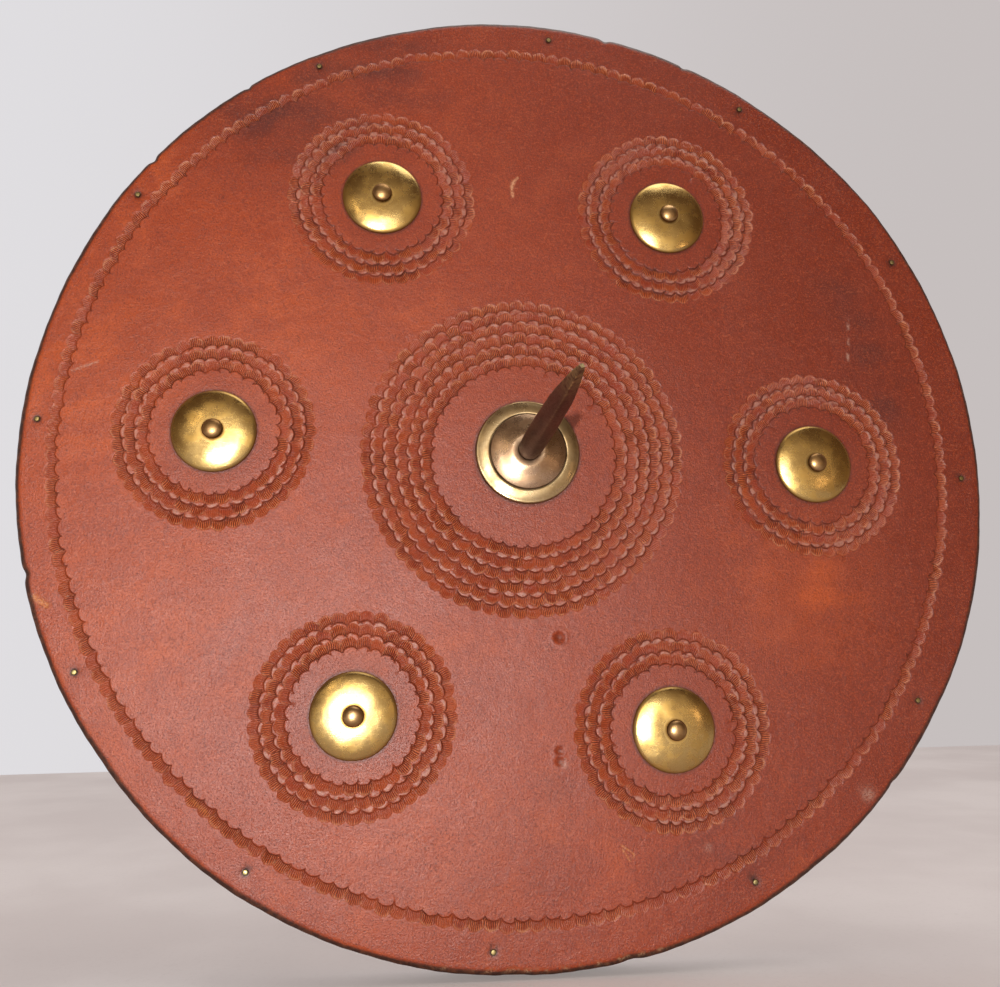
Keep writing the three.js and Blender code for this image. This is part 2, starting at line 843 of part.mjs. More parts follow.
// The frame is a rectangle of square bar with its corners taken off.
function buckleFrame() {
  const half = barThickness / 2;
  const innerHalfZ = billetWidth / 2 + frameSidePlay;
  const outer = [
    [outerBarX - half, innerHalfZ + barThickness],
    [heelX + half, innerHalfZ + barThickness],
  ];
  const shape = roundedRectangle(outer[0][0], outer[1][0], outer[0][1], barThickness);
  const inner = roundedRectangle(
    outerBarX + half,
    heelX - half,
    innerHalfZ,
    barThickness / 2,
  );
  shape.holes.push(new THREE.Path(inner.getPoints(3).reverse()));
  const geometry = new THREE.ExtrudeGeometry(shape, {
    depth: barThickness - barChamfer * 2,
    bevelThickness: barChamfer,
    bevelSize: barChamfer,
    bevelOffset: -barChamfer,
    bevelSegments: 1,
    curveSegments: 3,
  });
  geometry.rotateX(quarterTurn);
  geometry.translate(0, barHeight + half - barChamfer, 0);
  return welded(geometry);
}

function roundedRectangle(lowX, highX, halfZ, radius) {
  const shape = new THREE.Shape();
  shape.moveTo(lowX + radius, -halfZ);
  shape.lineTo(highX - radius, -halfZ);
  shape.quadraticCurveTo(highX, -halfZ, highX, -halfZ + radius);
  shape.lineTo(highX, halfZ - radius);
  shape.quadraticCurveTo(highX, halfZ, highX - radius, halfZ);
  shape.lineTo(lowX + radius, halfZ);
  shape.quadraticCurveTo(lowX, halfZ, lowX, halfZ - radius);
  shape.lineTo(lowX, -halfZ + radius);
  shape.quadraticCurveTo(lowX, -halfZ, lowX + radius, -halfZ);
  return shape;
}

// The tongue turns on the heel bar, comes up through the strap and rests on the outer bar.
function buckleTongue() {
  const restHeight = barThickness / 2 + seatGap + tongueThickness / 2;
  const loop = new THREE.CylinderGeometry(tongueEyeRadius, tongueEyeRadius, tongueWidth, 20);
  loop.rotateX(quarterTurn);
  const tipX = -barSpacing - tongueOverhang;
  const half = tongueThickness / 2;
  const arm = new THREE.Shape([
    new THREE.Vector2(0, restHeight - half),
    new THREE.Vector2(0, restHeight + half),
    new THREE.Vector2(tipX + tongueOverhang, restHeight + half),
    new THREE.Vector2(tipX, restHeight),
    new THREE.Vector2(tipX + tongueOverhang / 3, restHeight - half),
  ].reverse());
  const armSolid = new THREE.ExtrudeGeometry(arm, { depth: tongueWidth, bevelEnabled: false });
  armSolid.translate(0, 0, -tongueWidth / 2);
  const room = new THREE.CylinderGeometry(eyeInnerRadius, eyeInnerRadius, tongueWidth * 2, 20);
  room.rotateX(quarterTurn);
  return cut(joined([loop, armSolid]), [room]);
}

// The keeper is a flat ring of leather round both straps, set square to them.
function strapKeeper() {
  const innerHalf = strapThickness + seatGap / 2 + keeperPlay;
  const outerHalf = innerHalf + keeperWall;
  const innerZ = billetWidth / 2 + seatGap * 2;
  const outerZ = innerZ + keeperWall;
  const half = keeperLength / 2;
  const outer = block(-half, half, -outerHalf, outerHalf, -outerZ, outerZ);
  const inner = block(-half - overrun, half + overrun, -innerHalf, innerHalf, -innerZ, innerZ);
  return cut(outer, [inner]);
}

// Where the keeper sits: a point between the two straps on the far corner of the loop.
function keeperPlace() {
  const line = beside(sideLine(1).reverse(), (strapThickness + seatGap) / 2);
  const path = new THREE.SplineCurve(line);
  const share = keeperReachShare;
  const point = path.getPointAt(share);
  const along = path.getTangentAt(share);
  return { x: point.x, y: point.y, turn: Math.atan2(along.y, along.x) };
}

// The hand grip is one thick strap that narrows where the fingers close round it.
function gripLine() {
  const low = seatGap + gripThickness / 2;
  const top = gripClearHeight + gripThickness / 2;
  const run = gripHalfWidth * gripShoulderShare;
  const path = new THREE.Path();
  path.moveTo(-gripFootEnd, low);
  path.lineTo(-gripHalfWidth - footBendRadius, low);
  path.quadraticCurveTo(-gripHalfWidth, low, -gripHalfWidth, low + footBendRadius);
  path.bezierCurveTo(-gripHalfWidth, top - footBendRadius / 2, -run, top, 0, top);
  const left = path.getPoints(8);
  const right = left.slice(0, -1).reverse().map((point) => new THREE.Vector2(-point.x, point.y));
  return [...left, ...right];
}

function handGrip() {
  const band = strapAlong(gripLine(), gripThickness, gripWidth);
  const wide = gripWidth / 2 + overrun;
  const waist = gripWaistWidth / 2;
  const flare = gripHalfWidth * gripWaistShare;
  const plan = planPrism(
    [
      [-gripFootEnd - overrun, -wide],
      [-gripHalfWidth, -wide],
      [-flare, -waist],
      [flare, -waist],
      [gripHalfWidth, -wide],
      [gripFootEnd + overrun, -wide],
      [gripFootEnd + overrun, wide],
      [gripHalfWidth, wide],
      [flare, waist],
      [-flare, waist],
      [-gripHalfWidth, wide],
      [-gripFootEnd - overrun, wide],
    ],
    -overrun,
    gripClearHeight * 2,
  );
  const pared = [-1, 1].map((side) => {
    const inner = side * (gripHalfWidth + footBendRadius);
    const outer = side * (gripFootEnd + overrun);
    const low = seatGap + gripFootThickness;
    return block(
      Math.min(inner, outer),
      Math.max(inner, outer),
      low,
      low + gripThickness,
      -wide,
      wide,
    );
  });
  const holes = [];
  for (const side of [-1, 1]) {
    for (const end of [-1, 1]) {
      holes.push(bar(
        strapNailShankRadius + seatGap,
        -overrun,
        gripThickness * 2,
        side * gripNailReach,
        (end * gripNailSpacing) / 2,
        8,
      ));
    }
  }
  return cut(common(band, plan), [...pared, ...holes]);
}

// Outline points of a strap nail's head, as shares of its radius and height
const strapHeadShares = [[1, 0], [0.92, 0.4], [0.6, 0.84], [0, 1]];

// A strap nail: its head lies on the strap and its point stops just under the cover.
function strapNail() {
  const seat = seatGap + strapThickness + seatGap;
  const point = -(backingThickness + plyThickness * 2 + seatGap * 2);
  const profile = [
    [0, point],
    [strapNailShankRadius, point + strapNailShankRadius * 2],
    [strapNailShankRadius, seat],
    ...strapHeadShares.map(([out, up]) => [
      strapNailHeadRadius * out,
      seat + strapNailHeadHeight * up,
    ]),
  ];
  return turned(profile, 12);
}

// The assembly

function piece(name, geometry, finish) {
  const mesh = new THREE.Mesh(geometry, new THREE.MeshStandardMaterial(finish));
  mesh.name = name;
  return mesh;
}

const shield = new THREE.Group();

const body = new THREE.Group();
body.add(piece('leather_cover', leatherCover(), coverLeather));
for (let i = 0; i < boardsInLayer; i += 1) {
  body.add(piece(`front_board_${i + 1}`, board(i, frontPlyY - plyThickness, true), pine));
  body.add(piece(`back_board_${i + 1}`, board(i, backPlyY - plyThickness, false), pine));
}
body.add(piece('hide_backing', hideBacking(), hide));
shield.add(body);

// Pieces on the face are drawn with Y = 0 on the leather.
const face = new THREE.Group();
face.position.y = faceY;
nailPlaces.forEach(({ x, z }, i) => {
  const nail = piece(`rim_nail_${i + 1}`, rimNail(), brass);
  nail.position.set(x, 0, z);
  face.add(nail);
});
bossPlaces.forEach(({ x, z }, i) => {
  const boss = piece(`side_boss_${i + 1}`, sideBoss(), brass);
  boss.position.set(x, -seatGap, z);
  const rivet = piece(`boss_rivet_${i + 1}`, bossRivet(), brass);
  rivet.position.set(x, -seatGap, z);
  face.add(boss, rivet);
});
const flange = piece('centre_boss', centreBoss(), brass);
flange.position.y = -seatGap;
const dome = piece('centre_dome', centreDome(), bronze);
dome.position.y = -domeFootHeight;
face.add(flange, dome);
face.add(piece('spike_socket', spikeSocket(), steel));
face.add(piece('spike', spike(), iron));
shield.add(face);

// Pieces on the back are drawn with Y = 0 on the backing.
const back = new THREE.Group();
bossPlaces.forEach(({ x, z }, i) => {
  const rove = piece(`boss_rove_${i + 1}`, bossRove(), brass);
  rove.position.set(x, seatGap, z);
  back.add(rove);
});
const washer = piece('socket_washer', socketWasher(), steel);
washer.position.y = seatGap;
const nut = piece('socket_nut', socketNut(), steel);
nut.position.y = seatGap + washerThickness + seatGap;
back.add(washer, nut);

const armLoop = new THREE.Group();
armLoop.position.set(loopCentreX, 0, loopCentreZ);
armLoop.add(piece('arm_strap', armStrap(), strapLeather));
armLoop.add(piece('buckle_strap', buckleStrap(), strapLeather));
armLoop.add(piece('buckle_frame', buckleFrame(), brass));
const tongue = piece('buckle_tongue', buckleTongue(), brass);
tongue.position.set(heelX, barHeight, 0);
const keeper = piece('strap_keeper', strapKeeper(), strapLeather);
const seat = keeperPlace();
keeper.position.set(seat.x, seat.y, 0);
keeper.rotation.z = seat.turn;
armLoop.add(tongue, keeper);
back.add(armLoop);

const grip = piece('hand_grip', handGrip(), strapLeather);
grip.position.set(gripCentreX, 0, gripCentreZ);
back.add(grip);
armNailPlaces.forEach(({ x, z }, i) => {
  const nail = piece(`arm_strap_nail_${i + 1}`, strapNail(), brass);
  nail.position.set(x, 0, z);
  back.add(nail);
});
gripNailPlaces.forEach(({ x, z }, i) => {
  const nail = piece(`grip_nail_${i + 1}`, strapNail(), brass);
  nail.position.set(x, 0, z);
  back.add(nail);
});
shield.add(back);

export default shield;
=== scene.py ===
# %% [markdown]
# # A targe: tooled leather, brass bosses and a spike
# A targe is a round shield of two crossed layers of boards under a sheet of tooled leather. This
# notebook takes the shield's plain solids as its frame, and makes each surface as its maker would:
# the hide is damped and stamped row by row, the bosses are sunk from sheet brass, the spike is
# forged, and the straps are cut, edged and sewn. Lengths are in millimetres and are turned into
# metres where a mesh is made.

import math

import bmesh
import bpy
import numpy as np
from mathutils import Matrix, Vector
from mathutils.geometry import delaunay_2d_cdt


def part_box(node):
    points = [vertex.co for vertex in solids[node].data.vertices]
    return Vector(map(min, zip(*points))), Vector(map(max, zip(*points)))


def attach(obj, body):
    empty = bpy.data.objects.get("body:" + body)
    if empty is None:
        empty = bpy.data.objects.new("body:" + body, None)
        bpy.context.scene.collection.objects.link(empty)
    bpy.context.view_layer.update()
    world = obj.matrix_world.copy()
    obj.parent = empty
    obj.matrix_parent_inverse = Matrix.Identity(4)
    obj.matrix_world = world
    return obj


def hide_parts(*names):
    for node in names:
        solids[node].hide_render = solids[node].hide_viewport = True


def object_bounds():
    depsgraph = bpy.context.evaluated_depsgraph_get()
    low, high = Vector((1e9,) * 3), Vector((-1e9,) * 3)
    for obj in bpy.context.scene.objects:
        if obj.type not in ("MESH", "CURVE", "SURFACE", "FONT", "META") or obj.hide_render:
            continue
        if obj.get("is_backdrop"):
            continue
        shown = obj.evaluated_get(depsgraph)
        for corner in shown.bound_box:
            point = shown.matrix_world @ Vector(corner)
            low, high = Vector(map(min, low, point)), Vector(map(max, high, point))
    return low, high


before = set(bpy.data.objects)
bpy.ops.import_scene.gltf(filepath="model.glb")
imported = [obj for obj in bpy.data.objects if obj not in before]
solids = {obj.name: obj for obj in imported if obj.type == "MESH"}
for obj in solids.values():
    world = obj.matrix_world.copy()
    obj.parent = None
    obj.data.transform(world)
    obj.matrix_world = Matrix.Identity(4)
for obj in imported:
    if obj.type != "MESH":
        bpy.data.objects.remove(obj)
cad_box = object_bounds()
mm = 0.001
full_turn = 2 * math.pi
hand = np.random.default_rng(508)

cover_low, cover_high = (np.array(corner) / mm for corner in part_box("leather_cover"))
backing_low, backing_high = (np.array(corner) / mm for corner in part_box("hide_backing"))
shield_radius = (cover_high[0] - cover_low[0]) / 2
face_y = cover_low[1]
cover_back_y = cover_high[1]
print(f"{len(solids)} solids, shield {2 * shield_radius:.0f} mm across, face at y {face_y:.1f} mm")


# %% [markdown]
# ## Where the pieces stand
# The centre of each boss, nail and rove is read from its solid, so the tooling and the stains that
# go round a boss follow it when the solids move. The straps, further down, repeat the sizes of
# their solids, and the marks of age and the painted shade and light on the leather are listed one
# by one.

# %% Read the places of the fittings
def centre_of(node):
    low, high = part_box(node)
    middle = (Vector(low) + Vector(high)) / 2 / mm
    return np.array([middle.x, middle.z])


def depth_of(node):
    low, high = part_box(node)
    return low[1] / mm, high[1] / mm


def radius_of(node):
    low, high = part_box(node)
    return (high[0] - low[0]) / 2 / mm


boss_count = 6
rim_nail_count = 12
strap_nail_count = 4
boss_places = [centre_of(f"side_boss_{i + 1}") for i in range(boss_count)]
nail_places = [centre_of(f"rim_nail_{i + 1}") for i in range(rim_nail_count)]
rove_places = [centre_of(f"boss_rove_{i + 1}") for i in range(boss_count)]
strap_nails = [
    (f"{strap}_nail_{i + 1}", centre_of(f"{strap}_nail_{i + 1}"))
    for strap in ("arm_strap", "grip")
    for i in range(strap_nail_count)
]
print("bosses at", [tuple(np.round(place, 1)) for place in boss_places])


# %% [markdown]
# ## Two helpers for meshes
# Most surfaces below are grids of points worked out with arrays. One helper turns points and faces
# into an object, and one spins a profile round a fitting's axis, which is how a boss, a rivet or a
# nail head gets its shape.

# %% Mesh helpers
def mesh_object(name, points, face_sets, material, sharp_degrees=42):
    """An object from points in millimetres and one or more arrays of faces."""
    mesh = bpy.data.meshes.new(name)
    mesh.vertices.add(len(points))
    mesh.vertices.foreach_set("co", (np.asarray(points, float) * mm).ravel())
    corners = np.concatenate([faces.ravel() for faces in face_sets]).astype(np.int32)
    sizes = np.concatenate([np.full(len(faces), faces.shape[1]) for faces in face_sets])
    mesh.loops.add(len(corners))
    mesh.loops.foreach_set("vertex_index", corners)
    mesh.polygons.add(len(sizes))
    starts = np.concatenate([[0], np.cumsum(sizes)[:-1]]).astype(np.int32)
    mesh.polygons.foreach_set("loop_start", starts)
    mesh.update(calc_edges=True)
    mesh.polygons.foreach_set("use_smooth", np.ones(len(sizes), bool))
    mesh.set_sharp_from_angle(angle=math.radians(sharp_degrees))
    thing = bpy.data.objects.new(name, mesh)
    bpy.context.scene.collection.objects.link(thing)
    mesh.materials.append(material)
    return thing


def face_outwards(thing):
    """Turns the faces of a closed mesh outwards."""
    shape = bmesh.new()
    shape.from_mesh(thing.data)
    bmesh.ops.recalc_face_normals(shape, faces=shape.faces)
    shape.to_mesh(thing.data)
    shape.free()
    return thing


def paint(thing, name, values):
    """Keeps one number per point, which a material reads by name."""
    layer = thing.data.attributes.new(name, "FLOAT", "POINT")
    layer.data.foreach_set("value", np.asarray(values, np.float32))


def ring_faces(rows, around, closed_rows=False):
    """Quads between rows of points that each close on themselves."""
    count = rows if closed_rows else rows - 1
    row, step = np.meshgrid(np.arange(count), np.arange(around), indexing="ij")
    above = (row + 1) % rows
    ahead = (step + 1) % around
    corners = (
        row * around + step,
        above * around + step,
        above * around + ahead,
        row * around + ahead,
    )
    return np.stack([corner.ravel() for corner in corners], axis=1)


def spun(name, profile, place, base_y, facing, material, around=64, dents=None, marks=None):
    """Spins a profile of [radius, height] about a fitting's axis. Facing is -1 on the face."""
    profile = np.asarray(profile, float)
    angle = np.arange(around) * full_turn / around
    radius, turn = np.meshgrid(profile[:, 0], angle, indexing="ij")
    height = np.repeat(profile[:, 1:2], around, axis=1)
    if dents is not None:
        height = height + dents(radius, turn)
    points = np.stack(
        [
            place[0] + radius * np.cos(turn),
            base_y + facing * height,
            place[1] + radius * np.sin(turn),
        ],
        axis=2,
    ).reshape(-1, 3)
    closes = profile[0, 0] > 0 or profile[-1, 0] > 0
    faces = ring_faces(len(profile), around, closed_rows=closes)
    thing = mesh_object(name, points, [faces], material)
    if marks is not None:
        paint(thing, "grime", marks(radius, turn).ravel())
    shape = bmesh.new()
    shape.from_mesh(thing.data)
    bmesh.ops.remove_doubles(shape, verts=shape.verts, dist=0.002 * mm)
    bmesh.ops.recalc_face_normals(shape, faces=shape.faces)
    shape.to_mesh(thing.data)
    shape.free()
    return thing


def smooth_step(low, high, value):
    share = np.clip((value - low) / (high - low), 0, 1)
    return share * share * (3 - 2 * share)


def hump(distance, width):
    return np.exp(-((distance / width) ** 2))


class Swell:
    """A smooth uneven surface: many long waves that cross in all directions."""

    def __init__(self, shortest, longest, waves=26):
        length = hand.uniform(shortest, longest, waves)
        heading = hand.uniform(0, full_turn, waves)
        self.run = np.stack([np.cos(heading), np.sin(heading)]) * full_turn / length
        self.phase = hand.uniform(0, full_turn, waves)

    def __call__(self, plan):
        waves = np.cos(np.asarray(plan) @ self.run + self.phase)
        return waves.sum(axis=-1) / math.sqrt(len(self.phase))


# %% [markdown]
# ## A helper for materials
# Each finish is a small node tree. This class keeps the calls short: noise at a real size in
# millimetres, a soft threshold, a mix of two colours, thin coats of tint laid one over another, and
# a bump. Colours are written as they look on a screen and turned into linear light here.

# %% Material helper
def screen(red, green, blue):
    """A colour from its screen values, 0 to 255, in linear light."""
    channels = [value / 255 for value in (red, green, blue)]
    linear = [c / 12.92 if c <= 0.04045 else ((c + 0.055) / 1.055) ** 2.4 for c in channels]
    return (*linear, 1.0)


class Finish:
    """One material and short calls for its nodes."""

    def __init__(self, name, **constants):
        self.material = bpy.data.materials.new(name)
        self.material.use_nodes = True
        self.tree = self.material.node_tree
        self.shader = self.tree.nodes["Principled BSDF"]
        self.place = self.add("ShaderNodeTexCoord").outputs["Object"]
        for socket, value in constants.items():
            self.shader.inputs[socket.replace("_", " ")].default_value = value

    def add(self, kind, **settings):
        node = self.tree.nodes.new(kind)
        for name, value in settings.items():
            setattr(node, name, value)
        return node

    def feed(self, socket, value):
        if isinstance(value, bpy.types.NodeSocket):
            self.tree.links.new(value, socket)
        else:
            socket.default_value = value

    def stretched(self, scale, turn=(0, 0, 0)):
        node = self.add("ShaderNodeMapping")
        self.feed(node.inputs["Vector"], self.place)
        node.inputs["Scale"].default_value = scale
        node.inputs["Rotation"].default_value = turn
        return node.outputs["Vector"]

    def noise(self, size, detail=3.0, rough=0.5, vector=None, twist=0.0):
        """Soft noise, 0 to 1, with features of about size millimetres."""
        node = self.add("ShaderNodeTexNoise")
        self.feed(node.inputs["Vector"], vector or self.place)
        node.inputs["Scale"].default_value = 1 / (size * mm)
        node.inputs["Detail"].default_value = detail
        node.inputs["Roughness"].default_value = rough
        node.inputs["Distortion"].default_value = twist
        return node.outputs["Fac"]

    def cells(self, size, vector=None, feature="F1", output="Distance"):
        node = self.add("ShaderNodeTexVoronoi", feature=feature)
        self.feed(node.inputs["Vector"], vector or self.place)
        node.inputs["Scale"].default_value = 1 / (size * mm)
        return node.outputs[output]

    def mark(self, name):
        return self.add("ShaderNodeAttribute", attribute_name=name).outputs["Fac"]

    def step(self, value, low, high, start=0.0, end=1.0):
        """Value mapped softly from low..high to start..end."""
        node = self.add("ShaderNodeMapRange", interpolation_type="SMOOTHSTEP")
        self.feed(node.inputs["Value"], value)
        node.inputs["From Min"].default_value = low
        node.inputs["From Max"].default_value = high
        node.inputs["To Min"].default_value = start
        node.inputs["To Max"].default_value = end
        return node.outputs["Result"]

    def sum(self, operation, first, second=0.0, clamp=False):
        node = self.add("ShaderNodeMath", operation=operation, use_clamp=clamp)
        self.feed(node.inputs[0], first)
        self.feed(node.inputs[1], second)
        return node.outputs[0]

    def mix(self, amount, first, second, blend="MIX"):
        node = self.add("ShaderNodeMix", data_type="RGBA", blend_type=blend)
        self.feed(node.inputs["Factor"], amount)
        self.feed(node.inputs["A"], first)
        self.feed(node.inputs["B"], second)
        return node.outputs["Result"]

    def coats(self, colour, *layers):
        """Thin coats over a colour. Each is a noise, its low and high, the most it covers, a tint."""
        for noise, low, high, most, tint in layers:
            colour = self.mix(self.step(noise, low, high, 0, most), colour, tint)
        return colour

    def bump(self, height, distance, below=None):
        """A bump whose full height is distance millimetres."""
        node = self.add("ShaderNodeBump")
        self.feed(node.inputs["Height"], height)
        node.inputs["Distance"].default_value = distance * mm
        node.inputs["Strength"].default_value = 1.0
        if below is not None:
            self.feed(node.inputs["Normal"], below)
        return node.outputs["Normal"]

    def done(self, colour=None, rough=None, normal=None):
        for socket, value in (("Base Color", colour), ("Roughness", rough), ("Normal", normal)):
            if value is not None:
                self.feed(self.shader.inputs[socket], value)
        return self.material


# %% [markdown]
# ## The tooled leather's finish
# Vegetable-tanned hide is dyed and waxed by hand, so its red-brown is never even: it runs from a dark
# plum on the right and at the top to a warm orange on the left, where hands rubbed the dye thin. This
# run is also painted light: painted shade darkens the right and the top, and painted light brightens
# the left. Fine dark pores and short fibres keep it from looking like plastic. In the stamps the
# creases are darkened, partly dye and partly painted shade, the gaps between the ribs carry painted
# shade, the tops of the ribs and the crowns are lightened, partly wear and partly painted highlight,
# and the slivers of leather between the rows carry a painted sheen.

# %% The dye of the hide, with painted shade and painted light
russet = screen(163, 64, 26)
plum = screen(110, 37, 22)
orange = screen(196, 86, 28)


def hide_textures(f):
    return {
        "broad": f.noise(80, detail=3, rough=0.55),
        "patch": f.noise(30, detail=4, rough=0.6, twist=0.6),
        "mottle": f.noise(7, detail=5, rough=0.62),
        "fine": f.noise(0.9, detail=4, rough=0.7),
        "pores": f.noise(0.75, detail=2, rough=0.6),
        "grain": f.noise(
            1.0, detail=3, rough=0.6, vector=f.stretched((0.3, 1, 1), (0, 0.85, 0))
        ),
    }


def dyed_hide_and_painted_light(f, texture):
    colour = f.coats(
        russet,
        (texture["broad"], 0.4, 0.68, 0.5, screen(144, 52, 22)),
        (texture["patch"], 0.5, 0.76, 0.5, orange),
    )
    # The plum mask is partly dye and partly painted shade on the right and top. The orange mask is
    # partly rubbed dye and partly painted light on the left.
    for mask, tint in (("dye_and_painted_shade", plum), ("rubbed_dye_and_painted_light", orange), ("stain", screen(84, 36, 32))):
        colour = f.mix(f.mark(mask), colour, tint)
    return f.coats(
        colour,
        (texture["mottle"], 0.35, 0.72, 0.3, screen(134, 54, 38)),
        (texture["fine"], 0.5, 0.68, 0.6, screen(92, 34, 22)),
        (texture["fine"], 0.5, 0.32, 0.35, screen(208, 102, 56)),
        (texture["pores"], 0.6, 0.7, 0.7, screen(58, 26, 20)),
        (texture["grain"], 0.58, 0.74, 0.2, screen(214, 128, 90)),
    )


# %% The tooled rows, the marks and the cut edge
def tooled_rows(f, texture, colour):
    """The colours inside the stamps. Also returns the wave that runs over their ribs."""
    bed_tone = f.mix(f.mark("tone"), screen(180, 82, 36), screen(160, 62, 40))
    bed_tone = f.coats(bed_tone, (texture["mottle"], 0.35, 0.7, 0.5, screen(136, 52, 30)))
    colour = f.mix(f.sum("MULTIPLY", f.mark("bed"), 0.55), colour, bed_tone)
    worn = f.step(f.noise(3, detail=3), 0.3, 0.6)
    wave = f.sum("COSINE", f.sum("MULTIPLY", f.mark("rib_turn"), full_turn))
    wave = f.sum("MULTIPLY", wave, f.mark("ribs"))
    # Rib tops are lightened, partly wear and partly a painted highlight, and the gaps between the
    # ribs are darkened with painted shade.
    rib_tops_worn_and_highlit = f.sum("MULTIPLY", f.step(wave, 0.1, 1.0), worn)
    colour = f.mix(f.sum("MULTIPLY", rib_tops_worn_and_highlit, 0.7), colour, screen(230, 132, 80))
    colour = f.coats(colour, (wave, -0.1, -0.9, 0.8, screen(78, 27, 15)))
    for mask, size, detail, low, high, least, most, tint in (
        # lens: a pale painted sheen on the proud slivers between the rows.
        ("lens", 4, 4, 0.4, 0.6, 0.05, 0.38, screen(206, 160, 142)),
        # crowns: lightened along each crown, partly wear and partly a painted highlight.
        ("crowns", 5, 4, 0.42, 0.6, 0.08, 0.5, screen(228, 162, 124)),
        # creases: darkened at the root of each stamp, partly dye and partly painted shade.
        ("creases", 5, 3, 0.35, 0.6, 0.45, 0.85, screen(70, 24, 15)),
    ):
        patchy = f.step(f.noise(size, detail=detail), low, high, least, most)
        colour = f.mix(f.sum("MULTIPLY", f.mark(mask), patchy), colour, tint)
    return colour, wave


def marked_and_cut(f, colour):
    """Dirt with painted shade inside the dents, torn marks, scuffs with one painted highlight, and
    the dyed and frayed edge.
    """
    # Grime tint: dirt, and painted shade inside the dents.
    colour = f.mix(f.mark("grime"), colour, screen(62, 32, 24))
    torn = f.step(f.noise(0.8, detail=4), 0.38, 0.56, 0.25, 1.0)
    colour = f.mix(f.sum("MULTIPLY", f.mark("raw"), torn), colour, screen(210, 134, 70))
    # The pale scuff tint also carries one painted highlight, on the wall of a dent.
    colour = f.mix(f.sum("MULTIPLY", f.mark("scuffs_and_dent_highlight"), torn), colour, screen(200, 168, 150))
    streaks = f.noise(2.2, detail=4, vector=f.stretched((1, 0.16, 1)))
    edge_tone = f.mix(f.step(streaks, 0.4, 0.7), screen(58, 30, 20), screen(92, 50, 30))
    colour = f.mix(f.mark("edge_dye"), colour, edge_tone)
    fibre = f.step(f.noise(0.9, detail=4, rough=0.7), 0.42, 0.6)
    fray = f.sum("MULTIPLY", f.mark("fray"), fibre)
    return f.mix(fray, colour, screen(196, 150, 112))


# %% Leather of the face
def face_leather():
    f = Finish("face_leather", Specular_IOR_Level=0.52)
    texture = hide_textures(f)
    colour = dyed_hide_and_painted_light(f, texture)
    colour, wave = tooled_rows(f, texture, colour)
    colour = marked_and_cut(f, colour)
    rough = f.step(texture["patch"], 0.3, 0.75, 0.36, 0.44)
    rough = f.sum("ADD", rough, f.step(texture["fine"], 0.4, 0.8, -0.03, 0.07))
    rough = f.sum("ADD", rough, f.sum("MULTIPLY", f.mark("creases"), 0.2))
    rough = f.sum("ADD", rough, f.sum("MULTIPLY", f.mark("edge_dye"), 0.1), clamp=True)
    skin = f.bump(f.step(texture["pores"], 0.7, 0.55), 0.05)
    skin = f.bump(f.noise(0.9, detail=4, rough=0.65), 0.2, skin)
    skin = f.bump(f.noise(5, detail=3), 0.2, skin)
    skin = f.bump(wave, 0.09, skin)
    return f.done(colour, rough, skin)


# %% [markdown]
# ## Brass, bronze and iron
# The bosses are sheet brass, sunk in a hollow and polished with a cloth: long fine scratches go
# every way, the low places keep an olive-brown tarnish, and the high ones shine pale. The knobs and
# the inner dome are a browner bronze. The spike carries the brown patina of old iron, and shows a
# pale greenish scrape near its point.

# %% Metals
def scratches(f, size, turn):
    lines = f.noise(size, detail=2, rough=0.5, vector=f.stretched((0.06, 1, 1), (0, turn, 0)))
    return f.step(lines, 0.58, 0.72)


def polished_metal(name, bright, deep, tarnish, shine=0.24, dirt=1.0):
    f = Finish(name, Metallic=1.0)
    cloud = f.noise(8, detail=4, rough=0.6)
    spots = f.noise(1.3, detail=4, rough=0.65)
    colour = f.coats(bright, (cloud, 0.35, 0.7, 1, deep), (spots, 0.62, 0.8, 0.2, tarnish))
    lines = f.sum("MAXIMUM", scratches(f, 0.7, 0.6), scratches(f, 0.8, 1.9))
    lines = f.sum("MAXIMUM", lines, scratches(f, 0.6, 2.7))
    colour = f.mix(f.sum("MULTIPLY", lines, 0.25), colour, bright)
    grimy = f.sum("MULTIPLY", f.mark("grime"), dirt)
    colour = f.mix(grimy, colour, tarnish)
    rough = f.step(cloud, 0.3, 0.75, shine, shine + 0.14)
    rough = f.sum("ADD", rough, f.step(spots, 0.5, 0.8, 0, 0.06))
    rough = f.sum("ADD", rough, f.sum("MULTIPLY", grimy, 0.3), clamp=True)
    skin = f.bump(lines, 0.006)
    skin = f.bump(f.noise(5, detail=3), 0.07, skin)
    skin = f.bump(spots, 0.004, skin)
    return f.done(colour, rough, skin)


def spike_iron():
    f = Finish("spike_iron", Metallic=0.55, Specular_IOR_Level=0.5)
    streak = f.noise(6, detail=4, rough=0.6, vector=f.stretched((1, 0.14, 1)))
    speck = f.noise(1.1, detail=5, rough=0.7)
    colour = f.coats(
        screen(96, 66, 54),
        (streak, 0.35, 0.7, 1, screen(58, 38, 30)),
        (speck, 0.52, 0.72, 0.6, screen(40, 26, 22)),
    )
    bare = f.sum("MULTIPLY", f.mark("bare"), f.step(f.noise(2.6, detail=4), 0.34, 0.6))
    colour = f.mix(bare, colour, screen(178, 164, 112))
    rough = f.step(speck, 0.35, 0.75, 0.42, 0.62)
    rough = f.sum("ADD", rough, f.sum("MULTIPLY", bare, -0.12), clamp=True)
    skin = f.bump(speck, 0.05)
    skin = f.bump(streak, 0.1, skin)
    return f.done(colour, rough, skin)


